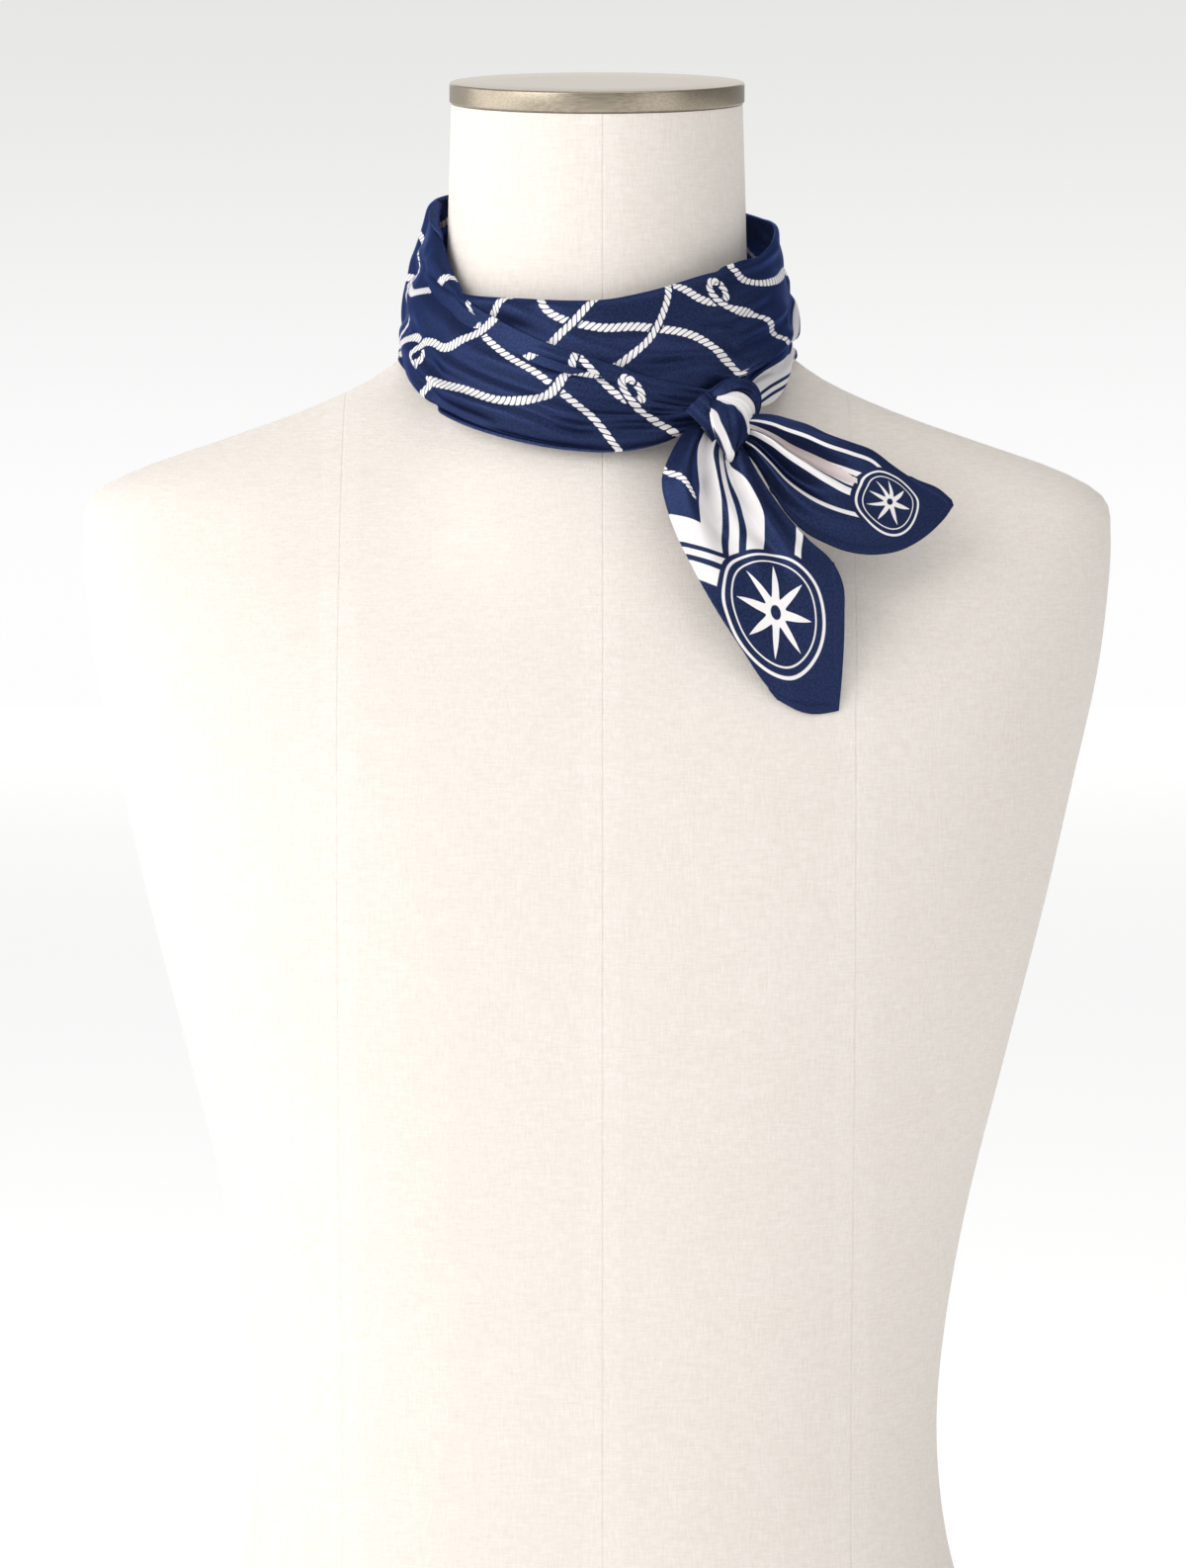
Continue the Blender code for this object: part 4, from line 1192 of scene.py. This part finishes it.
# %% The two corners
LOWER_CORDS = [[(118, 104), (102, 99), (90, 94), (80, 87), (70, 79)]]
lower = tail_grid(TAIL_LOWER, TAIL_LOWER_FLUTES, TAIL_LOWER_CURL, TAIL_LOWER_FLAT)
lower_grid, lower_flat = lower[:2]
tail_lower = make_tail("scarf_corner_lower", lower_grid, lower_flat, LOWER_CORDS)

right = tail_grid(TAIL_RIGHT, TAIL_RIGHT_FLUTES, TAIL_RIGHT_CURL, TAIL_RIGHT_FLAT)
right_grid, right_flat, right_places, right_shares = right
right_pale = hollow_cells(right_grid, right_places, right_shares)
tail_right = make_tail("scarf_corner_right", right_grid, right_flat, [], right_pale)

# %% [markdown]
# ## The knot
# The knot is the same cloth, squeezed: a strand comes down over its front, a loop goes over its
# top, a white fold shows between them, and the gathered end of the band dips under all of them
# into a squeezed core. Each is a flattened tube with pleats along it, which is how gathered silk
# looks. A column of each table says how far from the hem its middle lies, so the border line
# wanders across the strand as it does on cloth that is twisted.

# %% Pleated strands
KNOT_TURN = math.radians(31)
KNOT_OUT = np.array((math.sin(KNOT_TURN), -math.cos(KNOT_TURN), 0))
KNOT_SIDE = np.array((math.cos(KNOT_TURN), math.sin(KNOT_TURN), 0))
KNOT_UP = np.array((0, 0, 1.0))
KNOT_AT = np.array((53.6, -85.0, 572.0))
STRAND_ALONG = 64
STRAND_AROUND = 96


def from_knot(side, out, up):
    """A place given from the knot's middle: to its side, outwards and up."""
    return KNOT_AT + KNOT_SIDE * side + KNOT_OUT * out + KNOT_UP * up


def strand_object(name, rows, wide_way, pleats):
    """A flattened tube through the rows of a table. A pleat is how many go round the tube, how
    deep they are as a share of its size, and how far they drift round on the way."""
    read = curve_at(numbered(rows), np.linspace(0, len(rows) - 1, STRAND_ALONG))
    centres = np.array([from_knot(*row[:3]) for row in read])
    along = unit(np.gradient(centres, axis=0))
    wide = unit(wide_way - along * (along @ wide_way)[:, None])
    thick = np.cross(wide, along)
    turns = np.linspace(0, 2 * math.pi, STRAND_AROUND + 1)
    run = run_along(centres)
    swell = np.ones((STRAND_ALONG, STRAND_AROUND + 1))
    for count, depth, drift in pleats:
        swell += depth * np.cos(count * turns[None, :] + drift * run[:, None] / run[-1])
    offset_wide = read[:, 3:4] * np.cos(turns) * swell
    offset_thick = read[:, 4:5] * np.sin(turns) * swell
    points = (
        centres[:, None]
        + wide[:, None] * offset_wide[..., None]
        + thick[:, None] * offset_thick[..., None]
    )
    from_hem = read[:, 5:6] + np.cos(turns) * read[:, 3:4]
    flat = np.stack(np.broadcast_arrays(from_hem, run[:, None] + NO_BORDER), 2)
    number = np.arange(STRAND_ALONG * (STRAND_AROUND + 1)).reshape(STRAND_ALONG, -1)
    faces = grid_quads(number).tolist()
    faces += [number[0, :-1].tolist(), number[-1, :-1][::-1].tolist()]
    far = np.full((number.size, 2), FAR_AWAY)
    maps = {"flat": flat.reshape(-1, 2), "cords_over": far, "cords_under": far}
    made = new_object(name, points.reshape(-1, 3), faces, maps, [silk])
    join_points(made, 1e-6)
    print(name, "is", round(run[-1]), "mm long")
    return made


# %% The knot's strands
FRONT_STRAND = [
    # side, out, up, half_width, half_thickness, from_hem
    (-3.0, 0.5, 9.8, 5.0, 2.6, 32.0),
    (-3.4, 4.6, 7.0, 7.0, 3.0, 30.5),
    (-4.6, 8.8, 2.8, 8.2, 3.4, 28.4),
    (-6.0, 12.0, -1.6, 8.2, 3.5, 27.4),
    (-7.2, 14.0, -6.0, 6.6, 3.2, 24.8),
    (-7.6, 14.6, -9.8, 4.0, 2.7, 22.4),
    (-7.0, 13.8, -13.0, 1.8, 2.2, 20.7),
    (-4.6, 9.0, -14.2, 1.4, 1.7, 20.2),
    (-1.6, 4.6, -14.0, 1.2, 1.5, 19.8),
]
TOP_LOOP = [
    # side, out, up, half_width, half_thickness, from_hem
    (-4.7, -3.0, 11.4, 4.0, 2.8, 22.4),
    (-1.0, 0.3, 14.6, 4.6, 3.4, 23.4),
    (3.8, 1.3, 15.6, 5.0, 3.8, 24.0),
    (8.6, 1.4, 14.2, 5.2, 4.0, 24.0),
    (10.9, 1.4, 10.8, 5.2, 3.8, 24.0),
    (10.9, 1.3, 6.8, 4.8, 3.4, 23.4),
    (9.4, 0.8, 2.8, 4.2, 3.0, 22.4),
    (7.4, -0.6, -0.6, 3.4, 2.6, 22.4),
]
WHITE_FOLD = [
    # side, out, up, half_width, half_thickness, from_hem
    (-6.2, 2.6, 9.8, 2.0, 1.8, 58.5),
    (-3.2, 5.2, 9.6, 3.4, 2.4, 58.5),
    (0.9, 6.6, 8.2, 4.8, 2.9, 58.5),
    (3.8, 7.0, 5.0, 5.2, 3.2, 58.5),
    (4.2, 6.2, 1.4, 4.3, 2.8, 58.5),
    (3.4, 4.6, -2.0, 3.0, 2.3, 58.5),
    (3.0, 2.4, -5.0, 1.8, 1.8, 58.5),
]
GATHERED_END = [
    # side, out, up, half_width, half_thickness, from_hem
    (-14.0, -1.4, 9.6, 5.6, 2.6, 10.0),
    (-11.0, 1.8, 5.6, 5.6, 2.8, 10.0),
    (-8.4, 4.0, 1.1, 5.2, 2.8, 10.0),
    (-6.1, 4.6, -4.4, 4.4, 2.6, 10.0),
    (-3.4, 3.4, -9.8, 3.2, 2.4, 10.0),
    (-0.4, 1.0, -13.5, 2.2, 2.0, 10.0),
]
KNOT_CORE = [
    # side, out, up, half_width, half_thickness, from_hem
    (-5.0, -4.5, 10.5, 5.0, 4.0, 10.0),
    (-0.5, -1.5, 5.0, 7.4, 5.4, 10.0),
    (2.0, -0.4, -2.0, 7.0, 5.2, 10.0),
    (2.6, -0.8, -8.0, 5.2, 4.4, 10.0),
    (2.4, -2.6, -13.0, 3.4, 3.0, 10.0),
]

knot_strand = strand_object(
    "scarf_knot_front", FRONT_STRAND, KNOT_SIDE, [(5, 0.09, 1.6), (9, 0.05, -1.4), (14, 0.02, 2.4)]
)
knot_loop = strand_object(
    "scarf_knot_top", TOP_LOOP, KNOT_OUT, [(4, 0.09, 1.5), (7, 0.06, -1.5), (12, 0.025, 2.0)]
)
knot_fold = strand_object(
    "scarf_knot_fold", WHITE_FOLD, KNOT_SIDE + KNOT_UP,
    [(4, 0.10, 0.8), (7, 0.06, 1.5), (11, 0.03, -1.0)],
)
knot_gather = strand_object(
    "scarf_knot_gather", GATHERED_END, KNOT_SIDE + KNOT_UP,
    [(6, 0.10, 0.6), (10, 0.05, -0.8), (15, 0.02, 1.2)],
)
knot_core = strand_object(
    "scarf_knot_core", KNOT_CORE, KNOT_SIDE, [(7, 0.08, 1.0), (12, 0.04, -1.2)]
)

# %% [markdown]
# ## The dress form
# The form is padded and covered in natural linen, drawn tight. Its mesh comes from the same
# formula as the solid's, with many more rings. The linen's slubs are long thin noise, once along
# and once across, and the seams are narrow grooves with a pressed strip beside them.

# %% Linen
LINEN = (0.76, 0.695, 0.63, 1)
LINEN_PALE = (0.88, 0.835, 0.785, 1)
SEAMS = (2.6 * MM, -107 * MM, 107 * MM)    # down the middle, and down both sides
SEAM_HALF = 0.45 * MM
SEAM_SOFT = 0.2 * MM
PRESSED_HALF = 8 * MM     # the strip that is pressed flat beside a seam
PRESSED_SOFT = 1.5 * MM
SLUBS_LEVEL = (170, 170, 1150)     # how often a slub changes along each axis, for each metre
SLUBS_UPRIGHT = (1150, 1150, 170)
WEAVE_CONTRAST = 2.1      # how strongly the slubs, and soft clouds, tint the linen
CLOUD_CONTRAST = 0.3
LINEN_MIDDLE = 0.46       # share of the pale linen where neither tells
PRESSED_PALER = 0.10
SEAM_DARKER = 0.14
LINEN_BUMP = 0.0004


def near_seams(aside, half, soft):
    """1 near each seam, 0 away from them."""
    return sum(abs(aside - seam).band(-1, half, soft) for seam in SEAMS)


def make_linen():
    finish = Finish("natural_linen")
    place = finish.place()
    level = finish.noise(finish.stretched(place, SLUBS_LEVEL), scale=1.0, rough=0.6)
    upright = finish.noise(finish.stretched(place, SLUBS_UPRIGHT), scale=1.0, rough=0.6)
    weave = (level + upright) / 2
    cloud = finish.noise(place, scale=14.0, detail=3.0)
    aside = finish.part(place, 0)
    seam = near_seams(aside, SEAM_HALF, SEAM_SOFT)
    pressed = near_seams(aside, PRESSED_HALF, PRESSED_SOFT)
    share = (weave - 0.5) * WEAVE_CONTRAST + LINEN_MIDDLE + (cloud - 0.5) * CLOUD_CONTRAST
    share = share + pressed * PRESSED_PALER - seam * SEAM_DARKER
    height = weave * 1.1 + pressed * 0.2 - seam * 0.5
    return finish.surface(
        Base_Color=finish.mix(share, LINEN, LINEN_PALE),
        Roughness=0.88,
        Normal=finish.bump(height, LINEN_BUMP, strength=0.7),
        Specular_IOR_Level=0.2,
        Sheen_Weight=0.1,
    )


linen = make_linen()

# %% The form's mesh
FORM_AROUND = 200
FORM_LEVEL_STEP = 4.5
FORM_FOOT = 4.0           # the foot's rounded edge has a ring of its own
FORM_SIDE_CROWD = 1.6     # crowds the ring's points towards the shoulders
FORM_SHARP = math.radians(50)    # only the cuts at the neck and the foot are sharper


def form_ring(height):
    """A ring of the form, tilted near the neck's top."""
    fade = min(max((height - TILT_FADES_AT) / (NECK_TOP - TILT_FADES_AT), 0.0), 1.0)
    turns = np.linspace(0, 2 * math.pi, FORM_AROUND // CHEAP, endpoint=False)
    angles = np.arctan2(FORM_SIDE_CROWD * np.sin(turns), np.cos(turns))
    radii = form_radius(angles, np.full_like(angles, height))
    x, y = radii * np.sin(angles), -radii * np.cos(angles)
    return np.stack([x, y, height + y * math.tan(NECK_TILT * fade)], 1)


def make_form(finish):
    steps = int(NECK_TOP / (FORM_LEVEL_STEP * CHEAP))
    heights = [*np.linspace(NECK_TOP, FORM_FOOT, steps), FORM_FOOT / 2, 0.0]
    rings = [form_ring(height) for height in heights]
    around = len(rings[0])
    number = np.arange(len(rings) * around).reshape(len(rings), around)
    faces = grid_quads(number, closed=True).tolist()
    faces += [number[0].tolist(), number[-1, ::-1].tolist()]
    made = new_object("form_body", np.concatenate(rings), faces, {}, [finish])
    made.data.set_sharp_from_angle(angle=FORM_SHARP)
    return made


form = make_form(linen)
print("the form has", len(form.data.polygons), "faces")

# %% [markdown]
# ## The steel disc
# A disc of brushed steel closes the neck. It is turned from a short profile with rounded rims.
# The brushing runs one way across the top, which long thin noise in the roughness shows.

# %% Turning the disc
DISC_RADIUS = 63.0
DISC_HEIGHT = 8.8
DISC_ROUNDING = 0.9
DISC_RIM_POINTS = 5
DISC_FLAT = 0.6           # a ring on the flat top, as a share of the radius
DISC_SEAT = 708.9
DISC_AROUND = 192
DISC_SHARP = math.radians(40)
BRUSHING = (30, 1600, 1600)    # how often the brushed lines change, for each metre
STEEL_ROUGH = 0.24        # roughness, and how much the brushing adds
STEEL_ROUGH_LINES = 0.16
STEEL_BUMP = 0.0001
STEEL = (0.32, 0.275, 0.215, 1)
STEEL_PALE = (0.43, 0.375, 0.295, 1)


def make_steel():
    finish = Finish("brushed_steel")
    place = finish.place()
    lines = finish.noise(finish.stretched(place, BRUSHING), scale=1.0, detail=3.0, rough=0.6)
    return finish.surface(
        Base_Color=finish.mix(lines.step(0.3, 0.7), STEEL, STEEL_PALE),
        Roughness=STEEL_ROUGH + STEEL_ROUGH_LINES * lines,
        Metallic=1.0,
        Normal=finish.bump(lines, STEEL_BUMP, strength=0.3),
    )


def disc_profile():
    """Radius and rise from the middle of the underside to the middle of the top."""
    turns = np.linspace(0, math.pi / 2, DISC_RIM_POINTS)
    radii = DISC_RADIUS - DISC_ROUNDING * (1 - np.sin(turns))
    rises = DISC_ROUNDING * (1 - np.cos(turns))
    lower = list(zip(radii, rises))
    upper = [(radius, DISC_HEIGHT - rise) for radius, rise in reversed(lower)]
    top = [(DISC_RADIUS * DISC_FLAT, DISC_HEIGHT), (0.0, DISC_HEIGHT)]
    return [(0.0, 0.0), *lower, *upper, *top]


def make_disc(finish):
    up = np.array((0, -math.sin(NECK_TILT), math.cos(NECK_TILT)))
    ahead = np.array((0, -math.cos(NECK_TILT), -math.sin(NECK_TILT)))
    seat = np.array((0, 0, DISC_SEAT))
    turns = np.linspace(0, 2 * math.pi, DISC_AROUND, endpoint=False)
    ring = np.outer(np.cos(turns), ahead) + np.outer(np.sin(turns), (1, 0, 0))
    rows = [seat + up * rise + ring * radius for radius, rise in disc_profile()]
    number = np.arange(len(rows) * DISC_AROUND).reshape(len(rows), -1)
    faces = grid_quads(number, closed=True).tolist()
    made = new_object("form_disc", np.concatenate(rows), faces, {}, [finish])
    join_points(made, 1e-7, dissolve=True)
    made.data.shade_smooth()
    made.data.set_sharp_from_angle(angle=DISC_SHARP)
    return made


disc = make_disc(make_steel())
print("the disc has", len(disc.data.polygons), "faces")

# %% [markdown]
# ## The hem
# The square is hemmed by machine: the edge is turned under by about five millimetres and held
# by small stitches. Each stitch is a little thread of its own, laid on the corner's face, and
# all stitches of a corner are one mesh.

# %% Stitches along the hem
STITCH_LENGTH = 1.9
STITCH_PITCH = 2.7
STITCH_HALF = 0.22
STITCH_SIDES = 6
STITCH_STEP = 0.3         # between the points of the line that the stitches follow
STITCH_OUT = np.array((0, -1.0, 0))
STITCH_SWELL = [
    # share of the stitch's length, share of its half width
    (0.0, 0.25), (0.2, 0.9), (0.5, 1.0), (0.8, 0.9), (1.0, 0.25),
]
THREAD = (0.007, 0.012, 0.042, 1)
THREAD_PALE = (0.022, 0.034, 0.095, 1)
THREAD_BUMP = 0.0001


def nearest_point(grid, flat, place):
    """The point of a grid whose flat place is nearest."""
    gap = ((flat - np.array(place)) ** 2).sum(2)
    i, j = np.unravel_index(gap.argmin(), gap.shape)
    return grid[i, j]


def stitch_points(start, end):
    """The points of a spindle from start to end, lying half in the cloth."""
    way = end - start
    side = unit(np.cross(way, STITCH_OUT))
    turns = np.linspace(0, 2 * math.pi, STITCH_SIDES, endpoint=False)
    ring = np.outer(np.cos(turns), side) + np.outer(np.sin(turns), STITCH_OUT)
    rings = [start + way * share + ring * STITCH_HALF * swell for share, swell in STITCH_SWELL]
    return np.concatenate(rings)


def stitch_faces(first):
    """The faces of the spindle whose first point has a number."""
    number = first + np.arange(len(STITCH_SWELL) * STITCH_SIDES).reshape(-1, STITCH_SIDES)
    sides = grid_quads(number[::-1], closed=True).tolist()
    return sides + [number[0, ::-1].tolist(), number[-1].tolist()]


def make_stitches(name, grid, flat, routes, finish):
    """All stitches of one corner. A route is a line of flat places along a hem."""
    points, faces, count = [], [], 0
    for route in routes:
        on_face = [nearest_point(grid, flat, place) for place in route]
        path = smooth_route(on_face, STITCH_STEP)
        run = run_along(path)
        for k in range(int(run[-1] / STITCH_PITCH)):
            ends = k * STITCH_PITCH + np.array((0, STITCH_LENGTH))
            start, end = np.stack([np.interp(ends, run, line) for line in path.T], 1)
            faces += stitch_faces(len(points))
            points += list(stitch_points(start, end))
            count += 1
    print(name, "has", count, "stitches")
    return new_object(name, points, faces, {}, [finish])


def make_thread():
    finish = Finish("navy_thread")
    place = finish.place()
    twist = finish.noise(place, scale=2500.0)
    return finish.surface(
        Base_Color=finish.mix(twist, THREAD, THREAD_PALE),
        Roughness=0.6,
        Specular_IOR_Level=0.1,
        Normal=finish.bump(twist, THREAD_BUMP, strength=0.5),
    )


thread = make_thread()
LOWER_HEMS = [
    [(HEM_WIDTH, along) for along in range(5, 60, 6)],
    [(along, HEM_WIDTH) for along in range(8, 26, 4)],
]
RIGHT_HEMS = [[(HEM_WIDTH, along) for along in range(12, 100, 6)]]
lower_stitches = make_stitches(
    "scarf_hem_stitches_lower", lower_grid, lower_flat, LOWER_HEMS, thread
)
right_stitches = make_stitches(
    "scarf_hem_stitches_right", right_grid, right_flat, RIGHT_HEMS, thread
)

# %% [markdown]
# ## Studio
# The pale floor is a wide disc, and a pale wall stands all round it, further off than any camera,
# so that every side of the form can be looked at. Only the camera sees the wall: light passes
# through it from the room beyond, and so it puts no veil on the silk. The room is brighter on its
# left, which gives the silk a bright side and a dark one. Two large soft lights stand at the
# left, one hangs overhead, a weak one fills the right, and one behind gives the steel disc
# something bright to reflect. The wall is painted a little darker higher up: painted shade, as on a
# lit backdrop.

# %% Floor, wall and lights
STUDIO_RADIUS = 9.0       # the studio's sizes and places are in metres
STUDIO_SIDES = 96
WALL_HEIGHT = 12.0
WALL_BASE = -0.05         # the wall starts just below the floor, so no gap shows
WALL_SHADE_FROM = 0.2      # height where the painted shade on the wall begins
WALL_SHADE_FULL_AT = 1.5
# painted shade: the wall's glow at its top, darker than at its foot
WALL_PAINTED_SHADE = (0.80, 0.80, 0.79, 1)
ROOM_LEFT = 0.76          # strength of the room's light on each side
ROOM_RIGHT = 0.30
FLOOR_GLOW = 0.34
FLOOR_WHITE = (0.93, 0.93, 0.93, 1)
WALL_GLOW = 0.985
LIT = (1, 1, 1, 1)
MATT = {"Roughness": 0.9, "Specular_IOR_Level": 0.1}


def floor_finish():
    return Finish("pale_floor").surface(
        Base_Color=FLOOR_WHITE, Emission_Color=LIT, Emission_Strength=FLOOR_GLOW, **MATT
    )


def wall_finish():
    finish = Finish("pale_wall")
    height = finish.part(finish.place(), 2)
    # Painted shade: the wall's glow gets darker higher up.
    painted_shade = height.step(WALL_SHADE_FROM, WALL_SHADE_FULL_AT)
    glow = finish.mix(painted_shade, LIT, WALL_PAINTED_SHADE)
    return finish.surface(
        Base_Color=(0, 0, 0, 1), Emission_Color=glow, Emission_Strength=WALL_GLOW, **MATT
    )


def ring_points(radius, height):
    turns = np.linspace(0, 2 * math.pi, STUDIO_SIDES, endpoint=False)
    level = np.full_like(turns, height)
    return np.stack([radius * np.cos(turns), radius * np.sin(turns), level], 1)


def make_studio():
    """The floor and the wall, which only the camera sees."""
    number = np.arange(2 * STUDIO_SIDES).reshape(2, STUDIO_SIDES)
    floor_ring = ring_points(STUDIO_RADIUS, 0.0) / MM
    floor = new_object("studio_floor", floor_ring, number[:1].tolist(), {}, [floor_finish()])
    rings = [ring_points(STUDIO_RADIUS, height) / MM for height in (WALL_BASE, WALL_HEIGHT)]
    sides = grid_quads(number[::-1], closed=True).tolist()
    wall = new_object("studio_wall", np.concatenate(rings), sides, {}, [wall_finish()])
    wall.visible_diffuse = False
    wall.visible_glossy = False
    wall.visible_shadow = False


def make_light(name, at, target, size, power, colour):
    lamp = bpy.data.lights.new(name, "AREA")
    lamp.shape = "RECTANGLE"
    lamp.size, lamp.size_y = size
    lamp.energy = power
    lamp.color = colour
    made = bpy.data.objects.new(name, lamp)
    made.location = at
    made.rotation_euler = (Vector(target) - Vector(at)).to_track_quat("-Z", "Y").to_euler()
    bpy.context.scene.collection.objects.link(made)


LIGHTS = [
    # name, where it stands, what it points at, width and height, power, colour
    ("key", (-1.5, -1.45, 1.35), (0, 0, 0.58), (1.5, 1.6), 21, (1.0, 0.99, 0.97)),
    ("side", (-2.4, -0.1, 0.75), (0, 0, 0.58), (2.2, 1.6), 14, (1.0, 0.99, 0.97)),
    ("top", (0.35, -0.5, 2.4), (0, 0, 0.50), (1.3, 1.3), 7, (1.0, 0.99, 0.98)),
    ("fill", (1.9, -1.7, 0.9), (0, 0, 0.45), (1.6, 1.8), 6, (0.98, 0.98, 1.0)),
    ("back", (0, 9.6, 3.4), (0, 0, 0.70), (8.4, 3.6), 86, (1.0, 0.98, 0.95)),
]

make_studio()
for light in LIGHTS:
    make_light(*light)
print("the studio has", len(LIGHTS), "lights")


def room_light():
    """The room's own light, which fades from its left side to its right."""
    world = bpy.data.worlds.new("room")
    world.use_nodes = True
    tree = world.node_tree
    way = tree.nodes.new("ShaderNodeTexCoord")
    split = tree.nodes.new("ShaderNodeSeparateXYZ")
    fade = tree.nodes.new("ShaderNodeMapRange")
    limits = {"From Min": -1, "From Max": 1, "To Min": ROOM_LEFT, "To Max": ROOM_RIGHT}
    for key, value in limits.items():
        fade.inputs[key].default_value = value
    tree.links.new(way.outputs["Generated"], split.inputs[0])
    tree.links.new(split.outputs["X"], fade.inputs["Value"])
    tree.links.new(fade.outputs[0], tree.nodes["Background"].inputs["Strength"])
    tree.nodes["Background"].inputs["Color"].default_value = (1, 1, 1, 1)
    return world


bpy.context.scene.world = room_light()

# %% [markdown]
# ## Riding and hiding
# Each piece rides on the root body, and the solids that it stands for are hidden.

# %% Riding and replacing
PIECES = [
    # piece, slot, the solids that it stands for
    (form, "linen", ["form_torso"]),
    (disc, "steel", ["form_neck_cap"]),
    (band, "silk", ["scarf_front_wrap", "scarf_outer_wrap"]),
    (inner_band, "silk", ["scarf_inner_wrap"]),
    (tail_lower, "silk", ["scarf_tail_lower"]),
    (tail_right, "silk", ["scarf_tail_right"]),
    (knot_strand, "silk", ["scarf_knot_strand"]),
    (knot_loop, "silk", ["scarf_knot_loop"]),
    (knot_fold, "silk", []),
    (knot_gather, "silk", []),
    (knot_core, "silk", []),
    (lower_stitches, "silk", []),
    (right_stitches, "silk", []),
]
for piece, slot_name, nodes in PIECES:
    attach(piece, "root")
    if nodes:
        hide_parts(*nodes)
